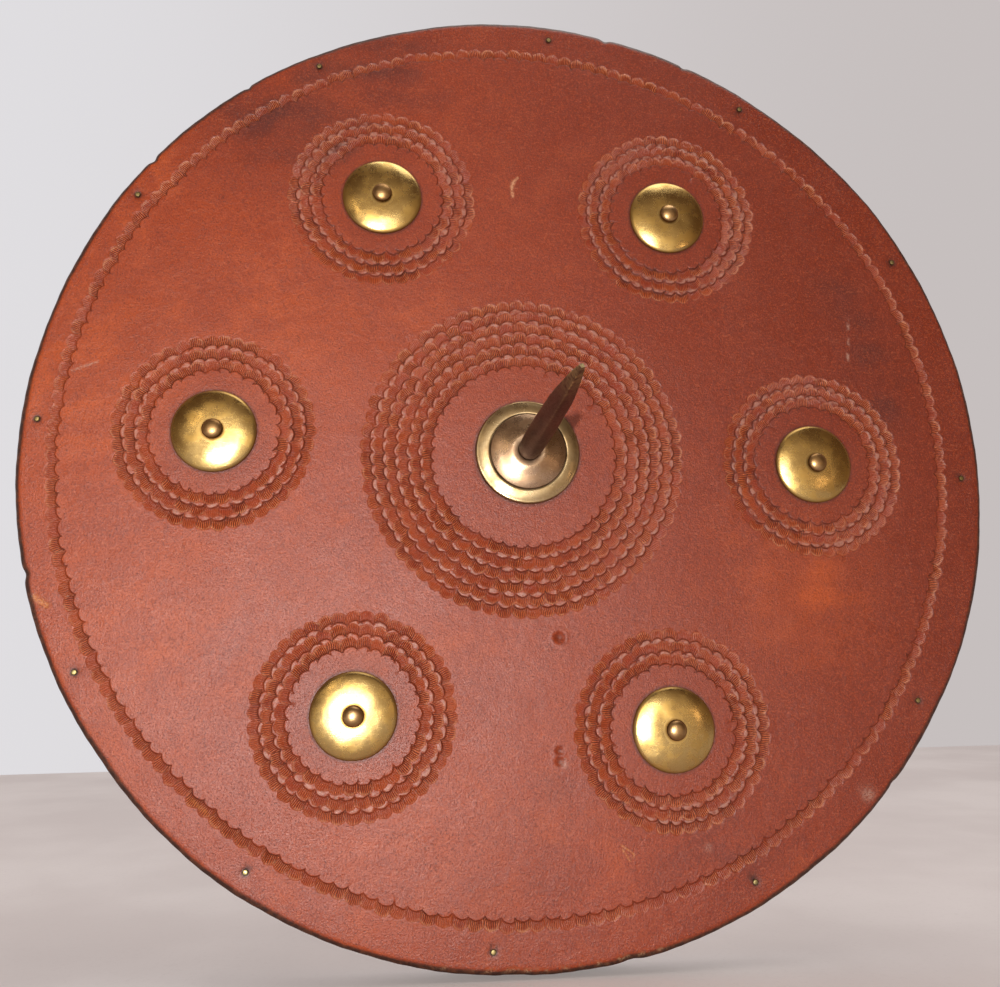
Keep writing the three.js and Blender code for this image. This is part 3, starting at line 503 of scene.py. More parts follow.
def dull_steel():
    f = Finish("dull_steel", Metallic=1.0)
    cloud = f.noise(3, detail=5, rough=0.65)
    rust = f.noise(1.4, detail=5, rough=0.7)
    colour = f.coats(
        screen(150, 146, 138),
        (cloud, 0.35, 0.68, 1, screen(104, 99, 92)),
        (rust, 0.58, 0.7, 0.6, screen(92, 62, 44)),
    )
    rough = f.step(cloud, 0.3, 0.7, 0.34, 0.5)
    skin = f.bump(rust, 0.03)
    skin = f.bump(scratches(f, 0.5, 0.9), 0.006, skin)
    return f.done(colour, rough, skin)


# %% [markdown]
# ## Wood, hide and strap leather
# The boards are pine, stained dark with the same dye as the leather. The back is lined with the
# flesh side of a hide: a soft tan nap, with veins and darker stains where a hand and a sleeve have
# rubbed it. The straps are oiled bridle leather with burnished edges.

# %% Wood and hides
def pine(name, along_x):
    f = Finish(name, Specular_IOR_Level=0.3)
    flow = (0.05, 1, 1) if along_x else (1, 1, 0.05)
    rings = f.noise(5, detail=5, rough=0.62, vector=f.stretched(flow), twist=0.7)
    fibre = f.noise(0.8, detail=4, rough=0.7, vector=f.stretched(flow))
    colour = f.coats(
        screen(92, 60, 36),
        (rings, 0.38, 0.62, 1, screen(52, 31, 20)),
        (fibre, 0.5, 0.72, 0.5, screen(34, 21, 15)),
    )
    skin = f.bump(fibre, 0.12)
    skin = f.bump(rings, 0.2, skin)
    return f.done(colour, f.step(fibre, 0.3, 0.8, 0.62, 0.85), skin)


def hide_nap():
    f = Finish("hide_nap", Specular_IOR_Level=0.15, Sheen_Weight=0.25, Sheen_Roughness=0.6)
    f.shader.inputs["Sheen Tint"].default_value = screen(226, 202, 170)
    broad = f.noise(70, detail=4, rough=0.55, twist=0.4)
    nap = f.noise(1.6, detail=6, rough=0.72)
    veins = f.cells(26, vector=f.stretched((1, 1, 0.6)), feature="DISTANCE_TO_EDGE")
    colour = f.coats(
        screen(176, 138, 100),
        (broad, 0.35, 0.68, 1, screen(140, 102, 70)),
        (nap, 0.4, 0.7, 0.5, screen(196, 164, 126)),
        (nap, 0.62, 0.44, 0.4, screen(120, 86, 58)),
        (veins, 0.035, 0.0, 0.28, screen(118, 82, 56)),
    )
    colour = f.mix(f.mark("grime"), colour, screen(74, 50, 34))
    skin = f.bump(nap, 0.28)
    skin = f.bump(f.noise(0.45, detail=3, rough=0.7), 0.12, skin)
    skin = f.bump(f.step(veins, 0.0, 0.09), 0.12, skin)
    return f.done(colour, f.step(nap, 0.3, 0.7, 0.82, 0.98), skin)


def bridle_leather():
    f = Finish("bridle_leather", Specular_IOR_Level=0.4)
    cloud = f.noise(14, detail=4, rough=0.6)
    fine = f.noise(1.1, detail=5, rough=0.68)
    crease = f.noise(2.2, detail=4, rough=0.6, vector=f.stretched((1, 1, 0.25)))
    colour = f.coats(
        screen(98, 58, 36),
        (cloud, 0.35, 0.7, 1, screen(70, 39, 25)),
        (fine, 0.52, 0.74, 0.5, screen(48, 27, 19)),
        (crease, 0.6, 0.74, 0.4, screen(130, 84, 54)),
    )
    colour = f.mix(f.mark("grime"), colour, screen(34, 20, 15))
    rough = f.step(cloud, 0.3, 0.75, 0.42, 0.56)
    rough = f.sum("ADD", rough, f.step(fine, 0.45, 0.8, 0, 0.12), clamp=True)
    skin = f.bump(f.cells(0.7), 0.05)
    skin = f.bump(f.sum("ADD", fine, crease), 0.12, skin)
    return f.done(colour, rough, skin)


def waxed_thread():
    f = Finish("waxed_thread", Specular_IOR_Level=0.3)
    twist = f.add("ShaderNodeTexWave", bands_direction="DIAGONAL")
    f.feed(twist.inputs["Vector"], f.place)
    twist.inputs["Scale"].default_value = 700
    twist.inputs["Distortion"].default_value = 1.5
    ply = twist.outputs["Fac"]
    colour = f.coats(screen(150, 122, 84), (ply, 0.2, 0.9, 1, screen(206, 182, 138)))
    return f.done(colour, 0.6, f.bump(ply, 0.08))


leather = face_leather()
brass = polished_metal(
    "boss_brass", screen(236, 202, 132), screen(226, 184, 104), screen(132, 94, 44), shine=0.2
)
flange_brass = polished_metal(
    "flange_brass", screen(214, 188, 144), screen(176, 146, 102), screen(88, 64, 40), shine=0.24
)
knob_bronze = polished_metal(
    "knob_bronze", screen(204, 166, 116), screen(168, 128, 80), screen(92, 62, 34), shine=0.3
)
bronze = polished_metal(
    "dome_bronze", screen(212, 180, 148), screen(180, 142, 108), screen(84, 56, 38), shine=0.22
)
nail_brass = polished_metal(
    "nail_brass", screen(196, 178, 124), screen(150, 128, 78), screen(78, 62, 38), shine=0.34
)
iron = spike_iron()
steel = dull_steel()
standing_pine = pine("standing_pine", along_x=False)
lying_pine = pine("lying_pine", along_x=True)
nap = hide_nap()
bridle = bridle_leather()
thread = waxed_thread()

# %% [markdown]
# ## The plan of the face
# The stamps are only 7 mm wide, and each has eight ribs, so the leather needs a fine mesh where
# it is tooled and a coarse one elsewhere. Each tooled band gets a grid of its own that runs round
# with the stamps. What lies between the bands is filled with triangles that use the bands' own edge
# points, so the whole sheet is one skin.

# %% Tooling bands and their grids
stamp_width = 7.3
stamp_length = 6.2
centre_row_pitch = 6.2
boss_row_pitch = 6.4
points_per_stamp = 34
grid_step = 0.36
band_margin = 1.1
edge_band = 12.4

centre_ring = {
    "centre": np.array([-1.3, -1.2]),
    "crowns": 84.8 - centre_row_pitch * np.arange(6),
    "counts": [68, 63, 58, 53, 50, 46],
}
boss_crowns = 50.3 - boss_row_pitch * np.arange(3)
boss_rings = [
    {"centre": place, "crowns": boss_crowns, "counts": [42, 37, 31]} for place in boss_places
]
rim_ring = {
    "centre": np.array([-3.5, 1.0]),
    "crowns": np.array([235.1]),
    "counts": [197],
    "oval": 1.1,
}
rings = [centre_ring, *boss_rings, rim_ring]
edge_start = shield_radius - edge_band

plan_parts = []
face_parts = []
seam_points = []
point_count = 0


def add_grid(points, rows, around):
    """Adds a ringed grid of plan points, and returns the number of its first point."""
    global point_count
    first = point_count
    plan_parts.append(points)
    face_parts.append(ring_faces(rows, around) + first)
    point_count += rows * around
    return first


for ring in rings:
    margin = band_margin + ring.get("oval", 0)
    ring["inner"] = ring["crowns"][-1] - stamp_length - margin
    ring["outer"] = ring["crowns"][0] + margin
    around = ring["counts"][0] * points_per_stamp
    rows = int(round((ring["outer"] - ring["inner"]) / grid_step)) + 1
    radius, angle = np.meshgrid(
        np.linspace(ring["inner"], ring["outer"], rows),
        np.arange(around) * full_turn / around,
        indexing="ij",
    )
    round_middle = np.stack([radius * np.cos(angle), radius * np.sin(angle)], axis=2)
    first = add_grid(ring["centre"] + round_middle.reshape(-1, 2), rows, around)
    seam_points.append(np.arange(first, first + around))
    seam_points.append(np.arange(first + (rows - 1) * around, first + rows * around))
print("tooled bands:", point_count, "points")

# %% [markdown]
# ## The edge of the face
# The disc was cut by hand, so its outline wanders by about a millimetre and has a few nicks. The
# edge is pared and rubbed round, then dyed dark. The same grid goes on down the side and under the
# leather, which makes the cover a closed body with a real thickness.

# %% Hand-cut edge
pared_width = 4.2
pared_depth = 3.1
edge_around = 2160
wander = 0.75
nicks = [  # degrees round, depth, width
    (68, 1.1, 2.2), (79, 1.4, 2.6), (127, 0.9, 1.8), (142, 1.2, 2.4),
    (195, 1.3, 3.0), (268, 0.8, 5.0), (281, 0.9, 4.0), (318, 0.7, 2.5),
]
outline_waves = [  # waves in one turn, phase, height
    (3, 0.9, 0.35), (7, 2.1, 0.25), (13, 4.0, 0.16),
    (29, 0.4, 0.1), (61, 5.2, 0.07), (173, 1.0, 0.05),
]

edge_angle = np.arange(edge_around) * full_turn / edge_around
outline = np.full(edge_around, shield_radius - wander)
for turns, phase, size in outline_waves:
    outline += size * np.cos(turns * edge_angle + phase)
for degrees, depth, width in nicks:
    away = (edge_angle - math.radians(degrees) + math.pi) % full_turn - math.pi
    outline -= depth * hump(away * shield_radius, width)
outline = np.minimum(outline, shield_radius)

# %% Rows of the edge's grid
# Each row is its inset from the outline, its drop below the face, whether it follows the outline,
# and its fixed radius where it doesn't.
cover_thickness = cover_back_y - face_y
flat_radii = np.arange(edge_start, shield_radius - pared_width - 1.6, 0.75)
edge_rows = [(0.0, 0.0, False, radius) for radius in flat_radii]
flat_rows = len(edge_rows)
pared_steps = 9
edge_rows += [
    (
        pared_width * (1 - math.sin(step / pared_steps * math.pi / 2)),
        pared_depth * (1 - math.cos(step / pared_steps * math.pi / 2)),
        True,
        0.0,
    )
    for step in range(pared_steps + 1)
]
edge_rows += [
    (0.05, pared_depth + 0.5, True, 0.0),
    (0.0, cover_thickness - 0.35, True, 0.0),
    (0.35, cover_thickness, True, 0.0),
    (9.0, cover_thickness, True, 0.0),
    (120.0, cover_thickness, True, 0.0),
]
row_radius = np.array([
    outline - inset if follows else np.full(edge_around, radius)
    for inset, _, follows, radius in edge_rows
])
row_drop = np.array([drop for _, drop, _, _ in edge_rows])
edge_points = np.stack(
    [row_radius * np.cos(edge_angle), row_radius * np.sin(edge_angle)], axis=2
).reshape(-1, 2)
edge_first = add_grid(edge_points, len(edge_rows), edge_around)
seam_points.append(np.arange(edge_first, edge_first + edge_around))
last_row = np.arange(point_count - edge_around, point_count)
plan_parts.append(np.zeros((1, 2)))
under_middle = point_count
point_count += 1
to_middle = np.full(edge_around, under_middle)
face_parts.append(np.stack([last_row, to_middle, np.roll(last_row, -1)], axis=1))
print(f"edge: {edge_around} steps, outline {outline.min():.1f} to {outline.max():.1f} mm")

# %% [markdown]
# ## Plain leather between the bands
# The plain leather is triangulated from the seam points of every band and an open scatter of points
# of its own, in one Delaunay pass. Triangles that fall inside a band are dropped, because the
# band's own grid is there already. The scatter is coarse, so it is made fine where a small mark
# lies and round each boss, or the mark would fall between its points and be lost.

# %% Fill the plain leather
spread = 4.0
mark_step = 0.5
marked_spots = [  # middle of a mark on the face, and how far its fine points reach
    ((15, -95), 8), ((15, -153), 11), ((-6, 151), 9), ((48, -198), 7),
    ((-224, 40), 9), ((182, 69), 15), ((88, -197), 5),
]
flange_edge = 27.4
boss_edge = 21.1
boss_edge_steps = 220


def clear_of_bands(points, margin):
    free = np.hypot(points[:, 0], points[:, 1]) < edge_start - margin
    for ring in rings:
        away = np.hypot(*(points - ring["centre"]).T)
        free &= (away < ring["inner"] - margin) | (away > ring["outer"] + margin)
    return free


columns, lines = np.meshgrid(
    np.arange(-shield_radius, shield_radius, spread),
    np.arange(-shield_radius, shield_radius, spread * math.sqrt(3) / 2),
)
columns[1::2] += spread / 2
scatter = np.stack([columns.ravel(), lines.ravel()], axis=1)
scatter += hand.uniform(-0.5, 0.5, scatter.shape)
close_points = []
for place, reach in marked_spots:
    across = np.arange(-reach, reach, mark_step)
    square = np.stack(np.meshgrid(across, across), axis=-1).reshape(-1, 2)
    close_points.append(square[np.hypot(*square.T) < reach] + place)
boss_edges = [((0, 0), flange_edge), *[(place, boss_edge) for place in boss_places]]
for place, edge_radius in boss_edges:
    turn = np.linspace(0, full_turn, boss_edge_steps, endpoint=False)
    for radius in edge_radius + np.arange(-1.2, 3.0, 0.6):
        circle = np.stack([radius * np.cos(turn), radius * np.sin(turn)], axis=1)
        close_points.append(circle + place)
scatter = np.concatenate([scatter, *close_points])
scatter = scatter[clear_of_bands(scatter, spread * 0.45)]
scatter_first = point_count
plan_parts.append(scatter)
point_count += len(scatter)
plan = np.concatenate(plan_parts)

# %% Triangles of the plain leather
used = np.concatenate([*seam_points, np.arange(scatter_first, point_count)])
filled = delaunay_2d_cdt([Vector(point) for point in plan[used]], [], [], 0, 1e-6)
triangles = np.array(filled[2])
origin_of = np.array([group[0] for group in filled[3]])
triangles = used[origin_of[triangles]]
middles = plan[triangles].mean(axis=1)
triangles = triangles[clear_of_bands(middles, 0.0)]
a, b, c = (plan[triangles[:, i]] for i in range(3))
turned_over = np.cross(b - a, c - a) < 0
triangles[turned_over] = triangles[turned_over][:, ::-1]
print("plain leather:", len(scatter), "points,", len(triangles), "triangles")

# %% [markdown]
# ## Pressing the stamps
# One tool made all the rows: an arched crescent with eight ribs. Struck side by side, the crescents
# join into a scalloped cord, with their crowns outwards and their horns inwards, and slivers of
# smooth leather stay proud between the rows. The tool leant inwards: from the crown the mark slopes
# down like a shell and ends at its root in a steep wall, so each row has a lit side and a dark line.
# No two strikes match: each is shifted, leant and driven by hand.

# %% The tool and its marks
relief = np.zeros(point_count)
bed = np.zeros(point_count)
ribs = np.zeros(point_count)
rib_turn = np.zeros(point_count)
tone = np.full(point_count, 0.5)
creases = np.zeros(point_count)
crowns = np.zeros(point_count)
lens = np.zeros(point_count)
half_stamp = stamp_width / 2
crown_bend = 4.4
root_bend = 4.7
arch_length = 4.7
lean_pivot = 2.7
ribs_per_stamp = 8
rib_height = 0.13
rib_closing = 0.03
stamp_depth = 1.15
slip = 0.28
lean_spread = math.radians(6)
oval_heading = math.radians(160)
wobble = 0.15 * np.stack([Swell(2.6, 8)(plan), Swell(2.6, 8)(plan)], axis=1)


def points_of_row(ring, crown_radius):
    """The points that a row can reach, with their distance and bearing from the ring's centre."""
    away = plan - ring["centre"]
    bearing = np.arctan2(away[:, 1], away[:, 0])
    distance = np.hypot(away[:, 0], away[:, 1])
    distance = distance - ring.get("oval", 0) * np.cos(2 * (bearing - oval_heading))
    near = np.flatnonzero(
        (distance > crown_radius - stamp_length - band_margin)
        & (distance < crown_radius + band_margin)
    )
    return near, distance[near], bearing[near]


def stamp_shape(u, v):
    """How far each point lies in from a stamp's crown, root and side, and the share inside it."""
    from_crown = crown_bend - np.hypot(u, v + crown_bend)
    from_root = np.hypot(u, v + arch_length + root_bend) - root_bend
    from_side = half_stamp + 0.1 - np.abs(u)
    edges = smooth_step(-0.18, 0.4, from_root) * smooth_step(-0.2, 0.25, from_side)
    inside = smooth_step(-0.12, 0.14, from_crown) * edges
    return from_crown, from_root, from_side, inside


# %% Strike every row
def press_row(ring, crown_radius, count):
    """Strikes one row of stamps. In a stamp, u runs along the row and v out from the crown."""
    near, distance, bearing = points_of_row(ring, crown_radius)
    pitch = full_turn / count
    angle = bearing - hand.uniform(0, pitch)
    across, along = hand.normal(0, slip, (2, count))
    lean = hand.normal(0, lean_spread, count)
    turn = np.arange(count) * pitch
    firm = 0.9 + 0.2 * np.sin(3 * turn + hand.uniform(0, 6)) * np.sin(7 * turn + hand.uniform(0, 6))
    force = stamp_depth * firm * hand.uniform(0.75, 1.2, count)
    crisp = firm * hand.uniform(0.4, 1.1, count)
    side_force = hand.normal(0, 0.2, count)
    colour_of = hand.uniform(0, 1, count)
    nearest = np.floor(angle / pitch).astype(int)
    covered = np.zeros(len(near))
    for neighbour in (0, 1):
        stamp = nearest + neighbour
        which = stamp % count
        u = distance * (angle - stamp * pitch) - across[which] + wobble[near, 0]
        v = distance - crown_radius - along[which] + wobble[near, 1]
        from_pivot = v + lean_pivot
        u, v = (
            u * np.cos(lean[which]) - from_pivot * np.sin(lean[which]),
            u * np.sin(lean[which]) + from_pivot * np.cos(lean[which]) - lean_pivot,
        )
        from_crown, from_root, from_side, inside = stamp_shape(u, v)
        slope = np.sin(np.clip(from_crown / 4.3, 0, 1) * math.pi / 2)
        spread_out = 1 - rib_closing * (v + 2.4)
        turns = ribs_per_stamp / stamp_width * u * spread_out
        fan = np.cos(full_turn * turns)
        ribbed = smooth_step(0.0, 0.5, from_crown) * smooth_step(0.1, 0.5, from_root)
        driven = (1 + side_force[which] * u / half_stamp) * force[which]
        depth = driven * (0.92 * slope + 0.26) * inside
        depth -= rib_height * (0.5 + 0.7 * crisp[which]) * fan * ribbed
        deeper = depth > -relief[near]
        relief[near] = np.where(deeper, -depth, relief[near])
        inked = deeper & (inside > 0.3)
        ribs[near] = np.where(inked, ribbed * crisp[which], ribs[near])
        rib_turn[near] = np.where(inked, turns, rib_turn[near])
        tone[near] = np.where(inked, colour_of[which], tone[near])
        bed[near] = np.maximum(bed[near], inside)
        # The dark line at each root, with a soft lead-in towards it, is partly dye and partly painted
        # shade.
        root_line = np.maximum(hump(from_root - 0.1, 0.45), 0.4 * smooth_step(1.9, 0.2, from_root))
        root_line *= (from_side > -0.1) * (from_root > -0.3) * (from_crown > 0)
        creases[near] = np.maximum(creases[near], root_line * (0.5 + 0.5 * crisp[which]))
        # Along each crown: wear and a painted highlight.
        crown_wear_and_highlight = hump(from_crown - 0.35, 0.5) * (from_root > 0.6) * (from_side > 0.2)
        crowns[near] = np.where(inked, crown_wear_and_highlight * crisp[which], crowns[near])
        covered = np.maximum(covered, smooth_step(-0.5, 0.0, np.minimum(from_crown, from_root)))
    # The proud slivers between the rows: raised in the relief, and given a painted sheen in the
    # material.
    if crown_radius > ring["crowns"][-1] + 1:
        band = smooth_step(crown_radius - 7.6, crown_radius - 6.4, distance)
        lens[near] = np.maximum(lens[near], (1 - covered) * band * (distance < crown_radius - 2.2))


for ring in rings:
    for crown_radius, count in zip(ring["crowns"], ring["counts"]):
        press_row(ring, crown_radius, count)
lens *= 1 - smooth_step(0.0, 0.4, bed)
relief += 0.12 * lens - 0.05 * bed * Swell(1.0, 2.6)(plan)
stamp_count = sum(sum(ring["counts"]) for ring in rings)
print("stamps:", stamp_count, "deepest", round(relief.min(), 2), "mm")

# %% [markdown]
# ## Age, dye and painted light on the face
# The sheet swells a little between its nails, and each nail pulls a small dimple with a dark halo
# of tarnish. Knocks have left one dent below the middle and two small ones under it; each dent is
# darkened inside with painted shade, and the lower small dent has a painted highlight on its right
# wall. Scuffs, a gouge near the edge, a few scratches and the dirt that gathers round each boss are
# painted as masks, and so are the darker and lighter places, partly dye and partly painted light.

# %% Swell, dimples, dents and stains
swell = Swell(45, 120)
ripple = Swell(9, 22)
quiet = np.ones(point_count)
seats = [(np.zeros(2), 30), *[(place, 24) for place in boss_places]]
for place, reach in seats:
    quiet *= smooth_step(reach, reach + 14, np.hypot(*(plan - place).T))
relief += quiet * (0.1 * swell(plan) + 0.035 * ripple(plan) - 0.05)

dye_and_painted_shade = np.zeros(point_count)
rubbed_dye_and_painted_light = np.zeros(point_count)
stain = np.zeros(point_count)
grime = np.zeros(point_count)
scuffs_and_dent_highlight = np.zeros(point_count)
raw = np.zeros(point_count)
fleck = Swell(3, 9)
speckle = smooth_step(-0.3, 0.9, fleck(plan))
cloud = smooth_step(-0.6, 0.9, Swell(16, 40)(plan))


def reach_from(place):
    return np.hypot(*(plan - np.asarray(place)).T)


def stroke(start, end, width):
    """A soft mark along a straight line."""
    start, end = np.asarray(start, float), np.asarray(end, float)
    run = end - start
    share = np.clip(((plan - start) @ run) / (run @ run), 0, 1)
    return hump(np.hypot(*(plan - start - share[:, None] * run).T), width)


boss_dirt = 21.3
flange_dirt = 27.6
for place in nail_places:
    away = reach_from(place)
    relief -= 0.4 * hump(away, 2.2)
    grime = np.maximum(grime, 0.8 * hump(away - 1.35, 0.7) + 0.25 * hump(away, 3.4))
for place in boss_places:
    away = reach_from(place)
    grime = np.maximum(grime, 0.6 * hump(away - boss_dirt, 0.8))
    dye_and_painted_shade = np.maximum(dye_and_painted_shade, 0.3 * smooth_step(35, 26, away))
grime = np.maximum(grime, 0.6 * hump(reach_from((0, 0)) - flange_dirt, 0.9))

dents = [  # middle, depth, width
    ((15.4, -95.3), 1.4, 3.0), ((14.5, -150.5), 0.8, 2.3), ((14.6, -155.5), 0.8, 2.5),
]
for place, depth, width in dents:
    away = reach_from(place)
    relief -= depth * hump(away, width)
    relief += depth * 0.3 * hump(away - width * 1.1, width * 0.5)
    # Darkening inside each dent: painted shade in the hollow.
    grime = np.maximum(grime, 0.4 * hump(away, width * 0.7))

# %% Darker, lighter and stained places: dye, with painted shade and painted light
# Darker places: partly dye smudges and partly painted shade.
dark_places = [  # middle, width, strength
    ((200, 40), 60, 1.0), ((190, -70), 60, 0.9), ((150, 165), 60, 0.6), ((30, 215), 60, 0.5),
    ((-75, 215), 60, 0.85), ((-135, 180), 40, 0.9), ((110, -200), 60, 0.75),
    ((0, -215), 50, 0.45), ((205, -10), 40, 0.5), ((-75, 100), 40, 0.35),
]
# Lighter orange places: partly rubbed dye and partly painted light, mostly on the left.
lighter_places = [
    ((-225, 20), 60, 0.75), ((-190, -90), 60, 0.55), ((-120, 60), 46, 0.5), ((148, -70), 34, 0.95),
    ((112, -40), 18, 0.4), ((-60, -190), 50, 0.4), ((140, -88), 20, 0.5),
]
stained_strokes = [  # start, end, width, strength
    ((-158, 190), (-104, 172), 17, 0.9), ((-118, 205), (-70, 226), 12, 0.75),
    ((180, 96), (204, 30), 14, 0.7), ((150, 214), (192, 158), 8, 0.35),
    ((10, -166), (30, -176), 9, 0.22),
]
# The leather darkens towards the right and the top: painted shade for light that falls off, laid into
# the same mask as the plum dye.
lean_right = smooth_step(-130, 210, 0.94 * plan[:, 0] + 0.34 * plan[:, 1])
dye_and_painted_shade = np.maximum(dye_and_painted_shade, 0.85 * lean_right)
for place, width, strength in dark_places:
    spot = strength * hump(reach_from(place), width)
    dye_and_painted_shade = np.maximum(dye_and_painted_shade, spot * (0.6 + 0.4 * cloud))
for place, width, strength in lighter_places:
    spot = strength * hump(reach_from(place), width)
    rubbed_dye_and_painted_light = np.maximum(rubbed_dye_and_painted_light, spot * (0.45 + 0.55 * cloud))
for start, end, width, strength in stained_strokes:
    spot = strength * stroke(start, end, width)
    stain = np.maximum(stain, spot * (0.35 + 0.65 * cloud))
rubbed_dye_and_painted_light *= 1 - 0.35 * lean_right

# %% Crescent, scratches and gouges
crescent = [
    ((-3.8, 156.4), (-6.2, 154.0), 0.5), ((-6.2, 154.0), (-7.3, 150.4), 0.9),
    ((-7.3, 150.4), (-6.8, 145.2), 0.7),
]
forked_scratch = [
    ((44.4, -195.2), (50.8, -199.6)), ((45.0, -197.4), (48.4, -202.4)),
    ((50.8, -199.6), (50.0, -201.2)),
]
gouge = ((-238, -76), (-232, -80))
for start, end, width in crescent:
    scuffs_and_dent_highlight = np.maximum(scuffs_and_dent_highlight, 0.4 * stroke(start, end, width))
    raw = np.maximum(raw, 0.9 * stroke(start, end, width))
for start, end in forked_scratch:
    raw = np.maximum(raw, 0.8 * stroke(start, end, 0.4))
# The pale spot at (17, -157), on the right wall of the lower small dent, is a painted highlight; the
# one at (87.9, -197.5) is a smudge.
dent_highlight_and_smudge = 0.3 * hump(reach_from((17, -157)), 2.0) + 0.3 * hump(reach_from((87.9, -197.5)), 1.8)
for values in (
    0.5 * stroke((182.9, 80.7), (181, 57), 0.8) * speckle,
    0.45 * hump(reach_from((173, -174)), 3.2),
    0.5 * stroke((-230, 37), (-218, 42), 0.5),
    dent_highlight_and_smudge,
):
    scuffs_and_dent_highlight = np.maximum(scuffs_and_dent_highlight, values)
raw = np.maximum(raw, 0.9 * stroke(*gouge, 1.3))
raw = np.maximum(raw, 0.5 * stroke((-160, -170), (-153, -176), 0.8))
relief -= 0.3 * stroke(*gouge, 1.2)

# %% Dye the edge and build the cover
drop = np.zeros(point_count)
edge_slice = slice(edge_first, edge_first + len(edge_rows) * edge_around)
drop[edge_slice] = np.repeat(row_drop, edge_around)
row_number = np.repeat(np.arange(len(edge_rows)), edge_around)
fade = np.where(row_number < flat_rows, 1.0, np.clip(1 - (row_number - flat_rows) / 4, 0, 1))
relief[edge_slice] *= fade
drop[under_middle] = cover_thickness
relief[under_middle] = 0

inward = np.full(point_count, 99.0)
inward[edge_slice] = (np.tile(outline, (len(edge_rows), 1)) - row_radius).ravel()
edge_wave = 0.3 * np.cos(17 * np.arctan2(plan[:, 1], plan[:, 0]) + 1.2)
edge_dye = smooth_step(3.4, 2.0, inward + edge_wave) + (drop > 1.2)
edge_dye = np.clip(edge_dye, 0, 1)
azimuth = np.degrees(np.arctan2(plan[:, 1], plan[:, 0])) % 360
worn_arc = smooth_step(256, 264, azimuth) * smooth_step(290, 282, azimuth)
fray = 0.6 * worn_arc * hump(inward - 2.6, 1.0) * speckle
fray[inward > 20] = 0
relief[edge_slice] -= 0.25 * (hump(inward - 2.4, 1.1) * worn_arc * speckle)[edge_slice]

for values in (relief, grime, dye_and_painted_shade, rubbed_dye_and_painted_light, stain):
    values[drop >= cover_thickness] = 0
points = np.stack([plan[:, 0], face_y - relief + drop, plan[:, 1]], axis=1)
cover = mesh_object("tooled_cover", points, [*face_parts, triangles], leather, sharp_degrees=75)
masks = {
    "bed": bed, "ribs": ribs, "tone": tone, "creases": creases, "lens": lens, "crowns": crowns,
    "dye_and_painted_shade": dye_and_painted_shade, "rubbed_dye_and_painted_light": rubbed_dye_and_painted_light, "stain": stain, "grime": grime, "scuffs_and_dent_highlight": scuffs_and_dent_highlight, "raw": raw,
    "edge_dye": edge_dye, "fray": fray,
}
for name, values in masks.items():
    paint(cover, name, np.clip(values, 0, 1))
paint(cover, "rib_turn", rib_turn)
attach(cover, "shield")
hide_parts("leather_cover")
print("cover:", len(points), "points")

# %% [markdown]
# ## Side bosses
# A boss starts as a disc of thin sheet, beaten into a shallow hollow and trimmed, so its rim is
# slightly rolled and its skin keeps the faint marks of the hammer. A rivet with a button head holds
# it, and the polish never reaches the narrow gap under the head, which stays dark.

# %% Sink the bosses and set their rivets
boss_low, boss_high = depth_of("side_boss_1")
boss_rise = boss_high - boss_low
boss_radius = radius_of("side_boss_1")
sheet = 0.9
rivet_hole = 2.5
rolled_edge = 0.9
rim_height = 1.15
boss_fullness = 3.2
hammer_blows = 26
blow_width = 3.4


def boss_skin(radius):
    share = radius / boss_radius
    return rim_height + (boss_rise - rim_height) * (1 - share**boss_fullness)


def boss_profile():
    skin_radii = np.linspace(boss_radius - rolled_edge, rivet_hole, 22)
    rim = [
        [boss_radius - sheet, 0.0],
        [boss_radius - 0.15, 0.0],
        [boss_radius, 0.25],
        [boss_radius, 0.6],
        [boss_radius - 0.18, 0.95],
        [boss_radius - 0.5, 1.16],
    ]
    outside = [[radius, boss_skin(radius)] for radius in skin_radii]
    inside = [[radius, boss_skin(radius) - sheet] for radius in skin_radii[::-1]]
    inside = [point for point in inside if point[1] > 0.05]
    return rim + outside + inside


def hammered(seed, size):
    """Soft dents from the hammer, the same on every run."""
    own = np.random.default_rng(seed)
    blows = own.uniform(-1, 1, (hammer_blows, 2)) * boss_radius
    depths = own.uniform(0.3, 1, hammer_blows) * size

    def dents(radius, turn):
        x, z = radius * np.cos(turn), radius * np.sin(turn)
        total = np.zeros_like(x)
        for (blow_x, blow_z), depth in zip(blows, depths):
            total -= depth * hump(np.hypot(x - blow_x, z - blow_z), blow_width)
        return total

    return dents


def boss_grime(radius, turn):
    rim = hump(radius - boss_radius, 0.8)
    seat = hump(radius - 5.2, 0.9)
    return np.clip(0.8 * rim + seat, 0, 1)


# %% Rivets and their roves
knob_radius = 5.1
knob_seat = boss_rise + 0.35
knob_rise = -(depth_of("boss_rivet_1")[0] - boss_high) - knob_seat


def knob_profile():
    shank_end = depth_of("boss_rivet_1")[1] - boss_high
    clench = 4.2
    dome = [
        [knob_radius * math.cos(angle), knob_seat + 0.9 + (knob_rise - 0.9) * math.sin(angle)]
        for angle in np.linspace(0.0, math.pi / 2, 12)
    ]
    tail = [
        [0.0, -shank_end],
        [clench * 0.55, -shank_end + 0.25],
        [clench * 0.9, -shank_end + 0.9],
        [clench, -shank_end + 1.5],
        [clench * 0.96, -shank_end + 1.7],
        [2.2, -shank_end + 1.7],
        [2.2, knob_seat - 0.25],
        [knob_radius * 0.82, knob_seat - 0.1],
        [knob_radius * 0.96, knob_seat + 0.25],
    ]
    return tail + dome


def rove_profile(rise):
    return [
        [rivet_hole, 0.0],
        [6.8, 0.0],
        [7.0, 0.2],
        [6.9, 0.55],
        [6.2, 0.85],
        [4.4, 1.2],
        [rivet_hole, rise],
    ]


